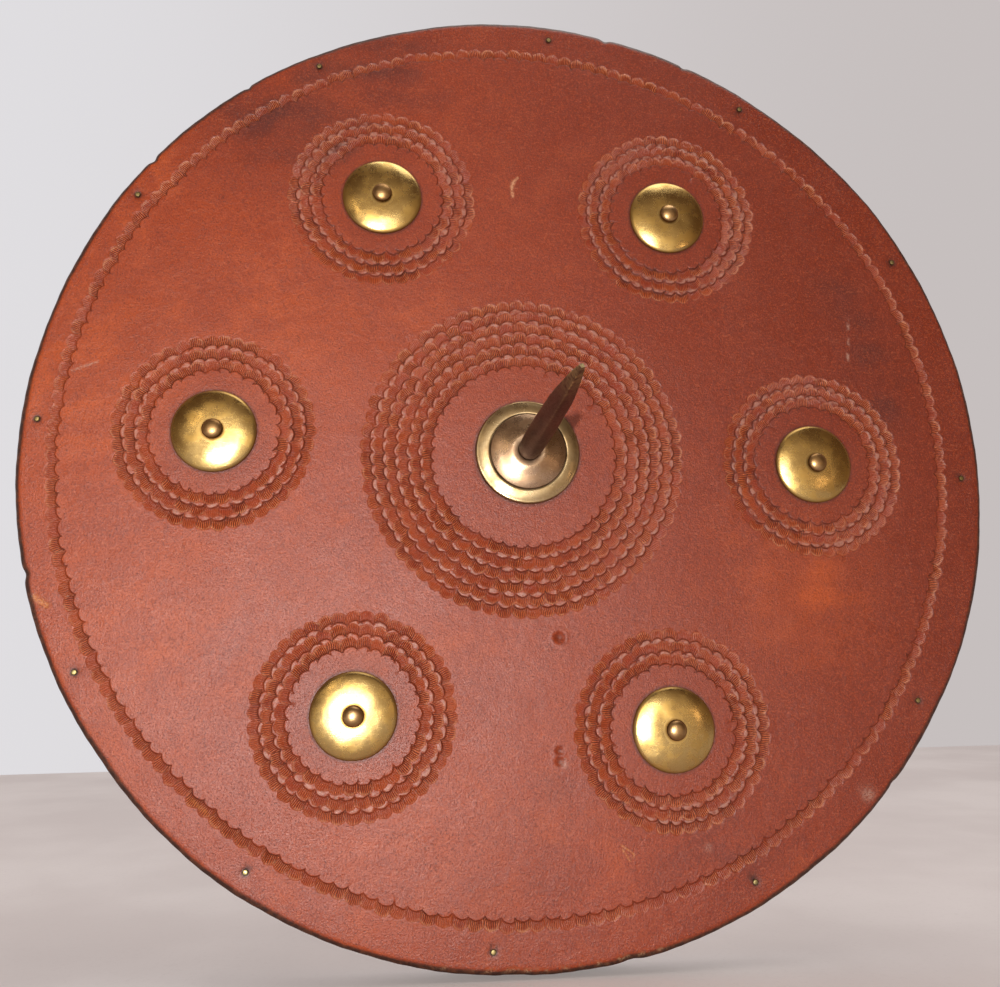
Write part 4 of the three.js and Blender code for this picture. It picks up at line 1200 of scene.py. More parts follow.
for i, place in enumerate(boss_places):
    number = i + 1
    boss = spun(
        f"sunk_boss_{number}", boss_profile(), place, boss_high, -1, brass, around=96,
        dents=hammered(100 + i, 0.09), marks=boss_grime,
    )
    rivet = spun(
        f"button_rivet_{number}", knob_profile(), place, boss_high, -1, knob_bronze, around=40,
        marks=lambda radius, turn: hump(radius - knob_radius, 0.5),
    )
    rove_low, rove_high = depth_of(f"boss_rove_{number}")
    rove = spun(
        f"rivet_rove_{number}", rove_profile(rove_high - rove_low), place, rove_low, 1, brass,
        around=40, marks=lambda radius, turn: hump(radius - 4.5, 0.8),
    )
    for thing, node in ((boss, "side_boss"), (rivet, "boss_rivet"), (rove, "boss_rove")):
        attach(thing, "shield")
        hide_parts(f"{node}_{number}")
print(f"bosses: {boss_count}, rise {boss_rise:.1f} mm, knob {knob_rise:.1f} mm")

# %% [markdown]
# ## The centre boss and its dome
# The large boss is in two alloys: a yellow brass flange with a soft shoulder, and a browner cap let
# into it, a low cone with eased ends. The seam between them is a fine dark line. The flange has one
# old knock.

# %% Turn the centre boss
flange_low, flange_high = depth_of("centre_boss")
dome_low, dome_high = depth_of("centre_dome")
flange_radius = radius_of("centre_boss")
dome_radius = radius_of("centre_dome")
flange_rise = flange_high - flange_low
dome_rise = dome_high - dome_low
dome_seat = flange_high - dome_high
socket_clear = 8.3


def flange_profile():
    inner = dome_radius + 0.3
    turn_in = flange_radius - 1.1
    sag = 0.03
    turn_high = flange_rise - sag * (turn_in - inner) ** 2
    rim = [
        [turn_in + 1.1 * math.cos(angle), 0.9 + (turn_high - 0.9) * math.sin(angle)]
        for angle in np.linspace(0.15, 1.3, 8)
    ]
    land = [
        [radius, flange_rise - sag * (radius - inner) ** 2]
        for radius in np.linspace(turn_in, inner + 0.35, 10)
    ]
    shoulder = rim + land
    return [
        [socket_clear, 0.0],
        [flange_radius - 0.25, 0.0],
        [flange_radius, 0.3],
        [flange_radius, 0.9],
        *shoulder,
        [inner + 0.1, flange_rise - 0.12],
        [inner, flange_rise - 0.4],
        [inner, dome_seat - 0.3],
        [socket_clear, dome_seat - 0.3],
    ]


def dome_profile():
    land = 8.2
    step_height = 0.9
    way_in = np.array([0.0, 0.015, 0.05, 0.4, 0.7, 0.85, 0.93, 0.97, 1.0])
    way_up = np.array([0.0, 0.07, 0.14, 0.45, 0.76, 0.91, 0.975, 0.993, 1.0])
    radii = dome_radius - (dome_radius - land) * way_in
    heights = step_height + (dome_rise - step_height) * way_up
    return [
        [11.3, 0.0],
        [dome_radius, 0.0],
        *[list(point) for point in zip(radii, heights)],
        [5.9, dome_rise],
        [5.5, dome_rise - 0.12],
        [5.3, dome_rise - 0.4],
        [5.3, 1.8],
        [11.3, 1.8],
    ]


def flange_grime(radius, turn):
    seam = 0.8 * hump(radius - dome_radius - 0.3, 0.35)
    rim = 0.6 * hump(radius - flange_radius, 0.5)
    cloud = 0.35 * smooth_step(0.2, 0.9, np.cos(3 * turn + 1.0) * np.cos(5 * turn))
    return np.clip(seam + rim + cloud * (radius > dome_radius), 0, 1)


def dome_grime(radius, turn):
    seam = hump(radius - dome_radius, 0.35)
    foot = 0.7 * smooth_step(8.6, 6.4, radius)
    return np.clip(seam + foot, 0, 1)


def knock(radius, turn):
    return -0.1 * hump(radius * np.cos(turn) - 17, 3) * hump(radius * np.sin(turn) + 17, 4)


flange = spun(
    "centre_flange", flange_profile(), (0, 0), flange_high, -1, flange_brass, around=160,
    dents=knock, marks=flange_grime,
)
dome = spun(
    "inner_dome", dome_profile(), (0, 0), dome_high, -1, bronze, around=160, marks=dome_grime
)
for thing, node, finish_slot in ((flange, "centre_boss", "brass"), (dome, "centre_dome", "bronze")):
    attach(thing, "shield")
    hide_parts(node)
print(f"centre boss rises {flange_rise:.1f} mm, the dome {face_y - dome_low:.1f} mm off the leather")

# %% [markdown]
# ## The spike
# The smith leaves the foot of the spike round, to seat on the dome, and draws the rest down to four
# faces that meet in a stiff point. The section is a rounded square that gets sharper as it climbs.
# Below the shoulder is a threaded foot, which shows when the spike is taken out.

# %% Draw down the spike
spike_low, spike_high = depth_of("spike")
spike_radius = radius_of("spike")
shoulder_y = dome_low - 0.3
tip_length = shoulder_y - spike_low
foot_length = spike_high - shoulder_y
ridge_angle = math.radians(69)
spike_sides = 96
height_shares = np.array([0, 0.04, 0.1, 0.3, 0.43, 0.56, 0.66, 0.74, 0.82, 0.91, 0.96, 1])
radius_shares = np.array([0.9, 0.96, 1, 0.985, 0.95, 0.885, 0.84, 0.755, 0.61, 0.44, 0.33, 0.18])
round_shares = np.array([1, 1, 0.95, 0.7, 0.5, 0.38, 0.3, 0.24, 0.18, 0.14, 0.12, 0.12])
thread_pitch = 2.0
thread_depth = 0.55
foot_radius = 5.0
foot_steps = 130
foot_bareness = 0.35

spike_turn = np.arange(spike_sides) * full_turn / spike_sides
climb = np.linspace(0, 1, 120) ** 0.92
spike_rings = []
bare_marks = []
hammer_marks = Swell(9, 26)
for share in climb:
    wide = np.interp(share, height_shares, radius_shares)
    power = 1 + np.interp(share, height_shares, round_shares)
    spread_out = np.abs(np.cos(spike_turn)) ** power + np.abs(np.sin(spike_turn)) ** power
    radius = spike_radius * wide / spread_out ** (1 / power)
    along = np.full(spike_sides, share * tip_length)
    radius = radius * (1 - 0.006 * hammer_marks(np.stack([along, spike_turn * 12], axis=1)))
    radius = np.minimum(radius, spike_radius)
    angle = spike_turn + ridge_angle
    spike_rings.append(
        np.stack([radius * np.cos(angle), shoulder_y - along, radius * np.sin(angle)], axis=1)
    )
    ridge = hump(np.sin(2 * spike_turn), 0.22)
    near_tip = smooth_step(0.72, 0.97, share)
    worn_ridge = 0.22 * ridge * smooth_step(0.2, 0.6, share)
    bare_marks.append(np.clip(near_tip * (0.5 + 0.6 * ridge) + worn_ridge, 0, 1))

# %% Thread the foot and close both ends
for step in range(1, foot_steps + 1):
    down = foot_length * step / foot_steps
    wave = np.cos(full_turn * down / thread_pitch - spike_turn)
    cut = thread_depth * (0.5 - 0.5 * wave) * smooth_step(1.5, 3.0, down)
    taper = 0.8 * smooth_step(foot_length - 1.2, foot_length, down)
    radius = foot_radius - cut - taper
    level = np.full(spike_sides, shoulder_y + down)
    ring = np.stack([radius * np.cos(spike_turn), level, radius * np.sin(spike_turn)], axis=1)
    spike_rings.insert(0, ring)
    bare_marks.insert(0, np.full(spike_sides, foot_bareness))
spike_points = np.concatenate(spike_rings)
rows = len(spike_rings)
tip_point = len(spike_points)
spike_points = np.concatenate([spike_points, [[0, spike_low, 0]], [[0, spike_high, 0]]])
first_ring = np.arange(spike_sides)
last_ring = first_ring + (rows - 1) * spike_sides
caps = [
    np.stack([last_ring, np.full(spike_sides, tip_point), np.roll(last_ring, -1)], axis=1),
    np.stack([np.roll(first_ring, -1), np.full(spike_sides, tip_point + 1), first_ring], axis=1),
]
spike_faces = [ring_faces(rows, spike_sides), *caps]
forged_spike = mesh_object("forged_spike", spike_points, spike_faces, iron, sharp_degrees=30)
paint(forged_spike, "bare", np.concatenate([*bare_marks, [1.0, 0.3]]))
face_outwards(forged_spike)
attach(forged_spike, "spike")
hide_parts("spike")
print(f"spike: {tip_length:.1f} mm of blade, {foot_length:.1f} mm of threaded foot")

# %% [markdown]
# ## Small nails
# Twelve small nails hold the leather's edge, and eight round-headed ones hold the straps. Their
# heads are hand-made, so each is slightly uneven.

# %% Nails
edge_nail_radius = 1.35
edge_nail_shank = 0.7
edge_nail_seat = 0.15
strap_nail_radius = 4.6
strap_nail_shank = 1.3
strap_nail_rise = 2.3
pin_taper = 2.4


def pin_profile(head_radius, head_rise, shank_radius, seat, length):
    dome = [
        [head_radius * math.cos(angle), seat + 0.2 + (head_rise - 0.2) * math.sin(angle)]
        for angle in np.linspace(0, math.pi / 2, 8)
    ]
    return [
        [0, -length],
        [shank_radius, -length + pin_taper],
        [shank_radius, seat],
        [head_radius * 0.96, seat],
        *dome,
    ]


def off_round(seed, amount):
    phase = seed * 1.7

    def dents(radius, turn):
        return amount * np.cos(2 * turn + phase) * smooth_step(0, 1.5, radius)

    return dents


for i, place in enumerate(nail_places):
    number = i + 1
    low, high = depth_of(f"rim_nail_{number}")
    head_rise = face_y - low - edge_nail_seat
    pin = pin_profile(
        edge_nail_radius, head_rise, edge_nail_shank, edge_nail_seat, high - face_y
    )
    nail = spun(
        f"edge_nail_{number}", pin, place, face_y, -1, nail_brass, around=24,
        dents=off_round(i, 0.03), marks=lambda radius, turn: hump(radius - edge_nail_radius, 0.4),
    )
    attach(nail, "shield")
    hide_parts(f"rim_nail_{number}")
for i, (node, place) in enumerate(strap_nails):
    low, high = depth_of(node)
    seat = high - strap_nail_rise
    pin = pin_profile(strap_nail_radius, high - seat, strap_nail_shank, seat, -low)
    nail = spun(
        f"dome_{node}", pin, place, 0, 1, brass, around=36, dents=off_round(i, 0.06),
        marks=lambda radius, turn: hump(radius - strap_nail_radius, 0.6),
    )
    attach(nail, "shield")
    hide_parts(node)

# %% [markdown]
# ## Boards and steel fittings
# These keep their solids, which already have the shapes of such pieces. The boards get their pine and
# a slight softening at the edge, and the steel fittings and the buckle get small rounded edges that
# catch the light.

# %% Dress the kept solids
def soften(node, width, segments=2):
    mesh = solids[node].data
    bevel = solids[node].modifiers.new("soft edges", "BEVEL")
    bevel.width = width * mm
    bevel.segments = segments
    bevel.limit_method = "ANGLE"
    bevel.angle_limit = math.radians(35)
    mesh.polygons.foreach_set("use_smooth", np.ones(len(mesh.polygons), bool))
    mesh.set_sharp_from_angle(angle=math.radians(30))


def dress(node, material):
    solids[node].data.materials.clear()
    solids[node].data.materials.append(material)


boards_per_layer = 3
for number in range(1, boards_per_layer + 1):
    for layer, wood in (("front_board", standing_pine), ("back_board", lying_pine)):
        dress(f"{layer}_{number}", wood)
        soften(f"{layer}_{number}", 0.5)
for node in ("spike_socket", "socket_washer", "socket_nut"):
    dress(node, steel)
    soften(node, 0.35)
for node in ("buckle_frame", "buckle_tongue"):
    dress(node, brass)
    soften(node, 0.7, segments=3)

# %% [markdown]
# ## The hide on the back
# A disc of raw hide, flesh side out, is glued over the boards. Its edge is cut by eye and its
# surface is never quite flat. It is stained round each rove and nail, and where the arm and the hand
# have worked against it.

# %% Line the back
backing_radius = (backing_high[0] - backing_low[0]) / 2
hide_around = 720
hide_hole = 9
hide_radii = np.linspace(hide_hole, backing_radius - 1.6, 150)
hide_radii = np.concatenate([hide_radii, [backing_radius - 0.6]])
hide_angle = np.arange(hide_around) * full_turn / hide_around
hide_outline = -0.55 + 0.35 * np.cos(5 * hide_angle + 1) + 0.2 * np.cos(17 * hide_angle + 2)
hide_swell = Swell(30, 80)
hide_ripple = Swell(7, 18)


def hide_row(reach):
    return np.stack([reach * np.cos(hide_angle), reach * np.sin(hide_angle)], axis=1)


hide_plan = np.concatenate([
    hide_row(radius + hide_outline * smooth_step(backing_radius - 30, backing_radius, radius))
    for radius in hide_radii
])
hide_y = -0.16 + 0.07 * hide_swell(hide_plan) + 0.03 * hide_ripple(hide_plan)
hide_y = np.minimum(hide_y, 0.0)
hide_y[-hide_around:] = -0.5
rim_plan = hide_row(backing_radius - 0.2 + hide_outline)
hide_plan = np.concatenate([hide_plan, rim_plan, rim_plan * 0.998, hide_row(hide_radii[0])])
closing_levels = np.repeat([-1.2, backing_low[1], backing_low[1]], hide_around)
hide_y = np.concatenate([hide_y, closing_levels])
hide_points = np.stack([hide_plan[:, 0], hide_y, hide_plan[:, 1]], axis=1)
hide_faces = ring_faces(len(hide_radii) + 3, hide_around, closed_rows=True)
lining = mesh_object("hide_lining", hide_points, [hide_faces], nap)
face_outwards(lining)

# %% Stain the lining
arm_middle = (centre_of("arm_strap") + centre_of("buckle_strap")) / 2
grip_middle = centre_of("hand_grip")
hide_stains = [  # middle, strength, radius of the stain's ring, width
    *[(place, 0.5, 7.4, 1.6) for place in rove_places],
    *[(place, 0.35, 0, 12) for name, place in strap_nails],
    (arm_middle, 0.42, 0, 48),
    (grip_middle, 0.42, 0, 34),
    (np.zeros(2), 0.5, 17.5, 2.4),
]
hide_grime = np.zeros(len(hide_plan))
for place, strength, radius, width in hide_stains:
    away = np.hypot(*(hide_plan - place).T)
    hide_grime = np.maximum(hide_grime, strength * hump(away - radius, width))
edge_dirt = smooth_step(backing_radius - 9, backing_radius - 1, np.hypot(*hide_plan.T))
hide_grime = np.maximum(hide_grime, 0.55 * edge_dirt)
paint(lining, "grime", np.clip(hide_grime, 0, 1))
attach(lining, "shield")
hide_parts("hide_backing")
print("hide lining:", len(hide_points), "points")

# %% [markdown]
# ## Straps that bend round the arm
# A strap is a flat band with rounded, burnished edges that follows a line. The line is drawn in the
# plane across the shield, and the band's width and thickness can change along it, so one helper cuts
# the arm strap, the buckle strap and the hand grip. A shallow groove beside each edge holds the seam.

# %% Strap helpers
def bezier(*corners, steps=20):
    """Points on a Bezier curve, with its start and without its end."""
    share = np.arange(steps)[:, None] / steps
    order = len(corners) - 1
    return sum(
        math.comb(order, i) * (1 - share) ** (order - i) * share**i * np.array(corner, float)
        for i, corner in enumerate(corners)
    )


def distances(line):
    """How far each point of a line lies from its start, along the line."""
    return np.concatenate([[0], np.cumsum(np.hypot(*np.diff(line, axis=0).T))])


def even_steps(line, step=0.8):
    """The same line with its points at even distances."""
    line = np.asarray(line, float)
    run = distances(line)
    places = np.linspace(0, run[-1], int(run[-1] / step) + 2)
    return np.stack([np.interp(places, run, line[:, i]) for i in range(2)], axis=1)


def headings(line):
    along = np.gradient(line, axis=0)
    along /= np.hypot(along[:, 0], along[:, 1])[:, None]
    return along


def section_template(across=45, corner_steps=5):
    """Points round a band's section: shares of its half width and thickness, and corner offsets."""
    spread_shares = np.linspace(-1, 1, across)
    turn = np.linspace(math.pi / 2, 0, corner_steps + 1)
    parts = [
        [(share, 1, 0, 1) for share in spread_shares],
        [(1, 1, math.cos(a), math.sin(a)) for a in turn[1:]],
        [(1, -1, math.cos(a), -math.sin(a)) for a in turn[::-1]],
        [(share, -1, 0, -1) for share in spread_shares[::-1][1:]],
        [(-1, -1, -math.cos(a), -math.sin(a)) for a in turn[1:]],
        [(-1, 1, -math.cos(a), math.sin(a)) for a in turn[::-1][:-1]],
    ]
    return np.array([point for part in parts for point in part])


seam_inset = 4.2
seam_groove = 0.3
corner_share = 0.36
crown_share = 0.12


def cut_strap(name, line, half_widths, thicknesses, place, outwards=1):
    """A strap along a line of [x, height] points, placed about [x, z]."""
    template = section_template()
    along = headings(line)
    normal = np.stack([-along[:, 1], along[:, 0]], axis=1) * outwards
    width = half_widths[:, None]
    thick = thicknesses[:, None]
    corner = corner_share * thick
    across = template[:, 0] * (width - corner) + template[:, 2] * corner
    through = template[:, 1] * (thick / 2 - corner) + template[:, 3] * corner
    from_edge = width - np.abs(across)
    groove = seam_groove * hump(from_edge - seam_inset, 0.8)
    crown = crown_share * thick * (1 - (across / width) ** 2) - crown_share * thick
    through = through + np.where(template[:, 1] > 0, crown - groove, 0)
    x = place[0] + line[:, :1] + normal[:, :1] * through
    y = line[:, 1:] + normal[:, 1:] * through
    z = place[1] + across
    points = np.stack([x, y, z], axis=2).reshape(-1, 3)
    around = len(template)
    rows = len(line)
    middles = [points[:around].mean(axis=0), points[-around:].mean(axis=0)]
    points = np.concatenate([points, middles])
    first = np.arange(around)
    last = first + (rows - 1) * around
    caps = [
        np.stack([np.roll(first, -1), first, np.full(around, rows * around)], axis=1),
        np.stack([last, np.roll(last, -1), np.full(around, rows * around + 1)], axis=1),
    ]
    strap = mesh_object(name, points, [ring_faces(rows, around), *caps], bridle, 60)
    grime = np.clip(0.75 * hump(from_edge, 1.1) + 0.3 * hump(from_edge - seam_inset, 0.9), 0, 1)
    paint(strap, "grime", np.concatenate([grime.ravel(), [0.7, 0.7]]))
    face_outwards(strap)
    return strap


def carve(thing, low, high):
    """Cuts a box out of a piece, between two corners in millimetres."""
    shape = bmesh.new()
    low, high = Vector(low), Vector(high)
    middle = (low + high) / 2 * mm
    box = Matrix.LocRotScale(middle, None, (high - low) * mm)
    bmesh.ops.create_cube(shape, size=1.0, matrix=box)
    mesh = bpy.data.meshes.new("cutter")
    shape.to_mesh(mesh)
    shape.free()
    subtract(thing, mesh)


def subtract(thing, mesh):
    cutter = bpy.data.objects.new("cutter", mesh)
    bpy.context.scene.collection.objects.link(cutter)
    boolean = thing.modifiers.new("cut", "BOOLEAN")
    boolean.operation = "DIFFERENCE"
    boolean.object = cutter
    bpy.context.view_layer.update()
    cut = thing.evaluated_get(bpy.context.evaluated_depsgraph_get())
    result = bpy.data.meshes.new_from_object(cut)
    thing.modifiers.clear()
    thing.data = result
    bpy.data.objects.remove(cutter)


def punch(thing, centre, direction, radius, reach=8):
    """A round hole through a strap."""
    shape = bmesh.new()
    turn = Vector((0, 0, 1)).rotation_difference(Vector(direction))
    place = Matrix.LocRotScale(Vector(centre) * mm, turn, None)
    bmesh.ops.create_cone(
        shape, cap_ends=True, segments=24, radius1=radius * mm, radius2=radius * mm,
        depth=reach * mm, matrix=place,
    )
    mesh = bpy.data.meshes.new("cutter")
    shape.to_mesh(mesh)
    shape.free()
    subtract(thing, mesh)


# %% [markdown]
# ## Seams
# The straps are two layers of hide sewn together near the edge with waxed thread. Each stitch is a
# small lozenge of thread that sinks at both ends into the groove, all at one pitch. They are built
# as one mesh for each strap.

# %% Stitch helper
stitch_length = 3.6
stitch_pitch = 4.6
stitch_radius = 0.42
stitch_rings = 7
stitch_sides = 6
seam_end = 4.0


def sew(name, line, half_widths, thicknesses, place, outwards=1):
    """Stitches along both edges of a strap, on its outer side."""
    run = distances(line)
    along = headings(line)
    normal = np.stack([-along[:, 1], along[:, 0]], axis=1) * outwards
    points, faces = [], []
    for middle in np.arange(seam_end + stitch_pitch / 2, run[-1] - seam_end, stitch_pitch):
        row = int(np.searchsorted(run, middle))
        centre, forward, up = line[row], along[row], normal[row]
        wide, thick = half_widths[row], thicknesses[row]
        surface = thick / 2 - seam_groove * 0.75 - crown_share * thick * (1 - seam_inset / wide)
        ahead = half_widths[min(row + 2, len(line) - 1)] - wide
        for side in (-1, 1):
            stitch = []
            for step in np.linspace(0, math.pi, stitch_rings):
                reach = -math.cos(step) * stitch_length / 2
                fat = stitch_radius * math.sin(step) ** 0.6 if 0 < step < math.pi else 0.02
                sink = -0.25 * abs(math.cos(step)) ** 3
                from_middle = side * (wide - seam_inset + ahead * reach / 1.6)
                for angle in np.arange(stitch_sides) * full_turn / stitch_sides:
                    lift = surface + sink + fat * math.sin(angle) * 0.8
                    sideways = from_middle + fat * math.cos(angle)
                    spot = centre + forward * reach + up * lift
                    stitch.append((place[0] + spot[0], spot[1], place[1] + sideways))
            first = len(points) * stitch_rings * stitch_sides
            points.append(np.array(stitch))
            faces.append(ring_faces(stitch_rings, stitch_sides) + first)
    stitches = mesh_object(name, np.concatenate(points), [np.concatenate(faces)], thread, 60)
    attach(stitches, "shield")
    return stitches


# %% [markdown]
# ## The arm strap
# The forearm goes up through this loop. The wide part of the strap comes from the left foot, narrows
# on the crest, passes under the buckle's outer bar and over its heel bar, and runs down the far side
# through the keeper. The line is worked out from the sizes of its solid, which are repeated here.

# %% Lines of the arm strap and the buckle strap
loop_place = np.array([-50.0, -124.15])
strap_thickness = 3.2
chape_thickness = 2.2
foot_half_width = 37.5
billet_half_width = 15.0
foot_end = 77.0
loop_half = 52.0
foot_bend = 8.0
side_height = 32.0
crest_height = 68.0
crest_half = 22.0
lift_off = 0.3
foot_height = lift_off + strap_thickness / 2
bar_size = 4.0
bar_height = crest_height + strap_thickness / 2 + lift_off + bar_size / 2
heel_x = 2.0
bar_spacing = 26.0
outer_bar_x = heel_x - bar_spacing
eye_inner = bar_size / 2 + 0.5
eye_outer = eye_inner + chape_thickness
chape_return = 18.0
billet_tip = 20.0


def side_line(side):
    """From the end of a foot up the side of the loop to its crest."""
    upright = side * loop_half
    bend = (side * (loop_half + foot_bend), foot_height)
    bend_end = (upright, foot_height + foot_bend)
    rise = crest_height - side_height
    run = loop_half - crest_half
    crest = (side * crest_half, crest_height)
    parts = [
        bezier((side * foot_end, foot_height), bend),
        bezier(bend, (upright, foot_height), bend_end),
        bezier(bend_end, (upright, side_height)),
        bezier(
            (upright, side_height), (upright, side_height + rise * 0.62),
            (side * (crest_half + run * 0.58), crest_height), crest,
        ),
        [crest],
    ]
    return np.concatenate(parts)


def billet_line():
    """From under the outer bar, over the heel bar, and down onto the crest again."""
    over_bar = bar_height + eye_outer + lift_off + strap_thickness / 2
    landing = crest_height + strap_thickness + chape_thickness + 2 * lift_off
    before_heel = (heel_x - bar_size / 2, over_bar)
    after_heel = (heel_x + bar_size / 2, over_bar)
    return np.concatenate([
        bezier(
            (outer_bar_x + bar_size, crest_height),
            (outer_bar_x + bar_spacing * 0.5, crest_height),
            (heel_x - bar_spacing * 0.4, over_bar), before_heel,
        ),
        bezier(before_heel, after_heel, steps=4),
        bezier(
            after_heel, (heel_x + chape_return * 0.4, over_bar),
            (heel_x + chape_return * 0.7, landing + 4 * lift_off),
            (heel_x + chape_return, landing),
        ),
    ])


def beside(line, distance):
    along = headings(line)
    return line + np.stack([-along[:, 1], along[:, 0]], axis=1) * distance


far_side = beside(side_line(1)[::-1], strap_thickness + lift_off)
past_chape = far_side[:, 0] > heel_x + chape_return + strap_thickness
past_chape &= far_side[:, 1] > billet_tip
arm_line = even_steps(np.concatenate([
    side_line(-1), billet_line(), far_side[past_chape],
    [[loop_half + strap_thickness + lift_off, billet_tip]],
]))
eye_radius = eye_inner + chape_thickness / 2
eye = [
    [heel_x + eye_radius * math.sin(a), bar_height - eye_radius * math.cos(a)]
    for a in np.linspace(0, -math.pi, 20)
]
chape_end = (heel_x + chape_return, crest_height + 2.72)
buckle_line = even_steps(np.concatenate([
    side_line(1),
    bezier((crest_half, crest_height), (heel_x + 5, crest_height)),
    eye,
    bezier(
        (heel_x, bar_height + eye_inner + chape_thickness / 2),
        (heel_x + 7, bar_height + eye_inner + 0.6), (heel_x + 11, crest_height + 2.75), chape_end,
    ),
    [chape_end],
]), 0.6)


# %% Cut and punch the arm strap
narrowing = (-44, -27)
slot_half = 2.8
hole_radius = 2.3
tip_half_width = 4.0
tip_taper = 13


def taper(value, start, end, wide, narrow):
    return wide + (narrow - wide) * np.clip((value - start) / (end - start), 0, 1)


def tongue_slot(strap, before, after, top):
    """The slot through which the buckle's tongue moves."""
    x, z = loop_place
    low = (x + heel_x - before, crest_height - 4, z - slot_half)
    carve(strap, low, (x + heel_x + after, bar_height + top, z + slot_half))


arm_width = taper(arm_line[:, 0], *narrowing, foot_half_width, billet_half_width)
tip_top = billet_tip + tip_taper
on_tip = (arm_line[:, 0] > loop_half - 4) & (arm_line[:, 1] < tip_top)
tip_width = taper(arm_line[:, 1], billet_tip, tip_top, tip_half_width, billet_half_width)
arm_width = np.where(on_tip, tip_width, arm_width)
arm_thick = np.full(len(arm_line), strap_thickness)
arm_strap = cut_strap("cut_arm_strap", arm_line, arm_width, arm_thick, loop_place)
tongue_slot(arm_strap, bar_spacing * 0.58, 5.9, 12)
for height in (billet_tip + 15.3, billet_tip + 25.3):
    hole = (loop_place[0] + loop_half + strap_thickness, height, loop_place[1])
    punch(arm_strap, hole, (1, 0, 0), hole_radius)

# %% Cut the buckle strap
buckle_width = taper(buckle_line[:, 1], 10, 36, foot_half_width, billet_half_width)
run = distances(buckle_line)
off_chape = np.abs(buckle_line[:, 0] - (heel_x + 12)) + (buckle_line[:, 1] < crest_height - 1) * 99
chape_start = run[np.argmin(off_chape)]
buckle_thick = taper(run, chape_start - 8, chape_start, strap_thickness, chape_thickness)
buckle_strap = cut_strap(
    "cut_buckle_strap", buckle_line, buckle_width, buckle_thick, loop_place, outwards=-1
)
tongue_slot(buckle_strap, 9.4, 6.2, 8)

for strap, node in ((arm_strap, "arm_strap"), (buckle_strap, "buckle_strap")):
    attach(strap, "shield")
    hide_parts(node)


# %% Sew both straps
def nearest_row(line, x, height):
    return int(np.argmin(np.hypot(line[:, 0] - x, line[:, 1] - height)))


end = nearest_row(arm_line, outer_bar_x - 8, crest_height)
sew("arm_strap_seam", arm_line[:end], arm_width[:end], arm_thick[:end], loop_place)
end = nearest_row(buckle_line, 47, 46)
sew(
    "buckle_strap_seam", buckle_line[:end], buckle_width[:end], buckle_thick[:end], loop_place,
    outwards=-1,
)
print(f"straps: {distances(arm_line)[-1]:.0f} mm of arm strap, {run[-1]:.0f} mm of buckle strap")

# %% [markdown]
# ## The keeper and the hand grip
# The keeper is a narrow band of leather butted and sewn into a flat ring. The hand grip is the
# thickest strap on the shield: two layers over a filler, narrowed where the fingers close round it.

# %% Keeper and grip
keeper_mesh = solids["strap_keeper"].data.copy()
keeper_mesh.name = "sewn_keeper"
keeper = bpy.data.objects.new("sewn_keeper", keeper_mesh)
bpy.context.scene.collection.objects.link(keeper)
keeper_mesh.materials.clear()
keeper_mesh.materials.append(bridle)
round_over = keeper.modifiers.new("burnished edges", "BEVEL")
round_over.width = 0.75 * mm
round_over.segments = 4
round_over.limit_method = "ANGLE"
keeper_mesh.polygons.foreach_set("use_smooth", np.ones(len(keeper_mesh.polygons), bool))
keeper_mesh.set_sharp_from_angle(angle=math.radians(50))
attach(keeper, "shield")
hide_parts("strap_keeper")

grip_place = np.array([-50.0, 105.0])
grip_half = 50.0
grip_foot_end = 76.0
grip_thick = 5.0
grip_foot_thick = 3.2
grip_waist = 12.0
grip_foot_half_width = 15.0
grip_clear = 40.0
grip_low = lift_off + grip_thick / 2
grip_top = grip_clear + grip_thick / 2
grip_bend = (-grip_half - foot_bend - 2, grip_low - 0.9)
grip_side = (-grip_half, grip_low + foot_bend)
left_half = np.concatenate([
    bezier((-grip_foot_end, grip_low - 0.9), grip_bend),
    bezier(grip_bend, (-grip_half, grip_low), grip_side),
    bezier(
        grip_side, (-grip_half, grip_top - foot_bend / 2), (-grip_half * 0.66, grip_top),
        (0, grip_top),
    ),
])
right_half = (left_half * [-1, 1])[::-1]
grip_line = even_steps(np.concatenate([left_half, [[0, grip_top]], right_half]))
grip_from_middle = np.abs(grip_line[:, 0])
grip_width = taper(grip_from_middle, 40, 50, grip_waist, grip_foot_half_width)
grip_thickness = taper(grip_from_middle, 50, 60, grip_thick, grip_foot_thick)
grip = cut_strap("cut_hand_grip", grip_line, grip_width, grip_thickness, grip_place)
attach(grip, "shield")
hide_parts("hand_grip")
sew("hand_grip_seam", grip_line, grip_width, grip_thickness, grip_place)

# %% [markdown]
# ## The shelf, the room and the light
# The shield stands on a pale shelf, as in the photograph, with a pale room behind it. The main light
# is a small lamp behind the camera, to its left and below it: it throws the sharp shadow of the
# spike up to the right. A broad, weaker panel straight ahead gives the bosses their pale side and
# the leather its sheen. The room in front is dim and brown, which gives the brass its dark side.

# %% Shelf
shelf_top = -shield_radius
shelf_gap = 0.05
shelf_far_left = Vector((-593.0, 849.0))
shelf_far_right = Vector((992.0, 1040.0))
shelf_more = 3000
shelf_depth = 2200


def shelf_surface():
    f = Finish("shelf_surface", Roughness=0.7, Specular_IOR_Level=0.25)
    cloud = f.noise(140, detail=3)
    fine = f.noise(2.5, detail=4, rough=0.7)
    colour = f.mix(f.step(cloud, 0.3, 0.7), screen(206, 197, 194), screen(196, 186, 183))
    colour = f.mix(f.step(fine, 0.5, 0.75, 0, 0.25), colour, screen(186, 175, 172))
    seen = f.add("ShaderNodeLightPath").outputs["Is Camera Ray"]
    f.feed(f.shader.inputs["Emission Color"], colour)
    f.feed(f.shader.inputs["Emission Strength"], f.sum("MULTIPLY", seen, 0.4))
    return f.done(colour, None, f.bump(fine, 0.05))


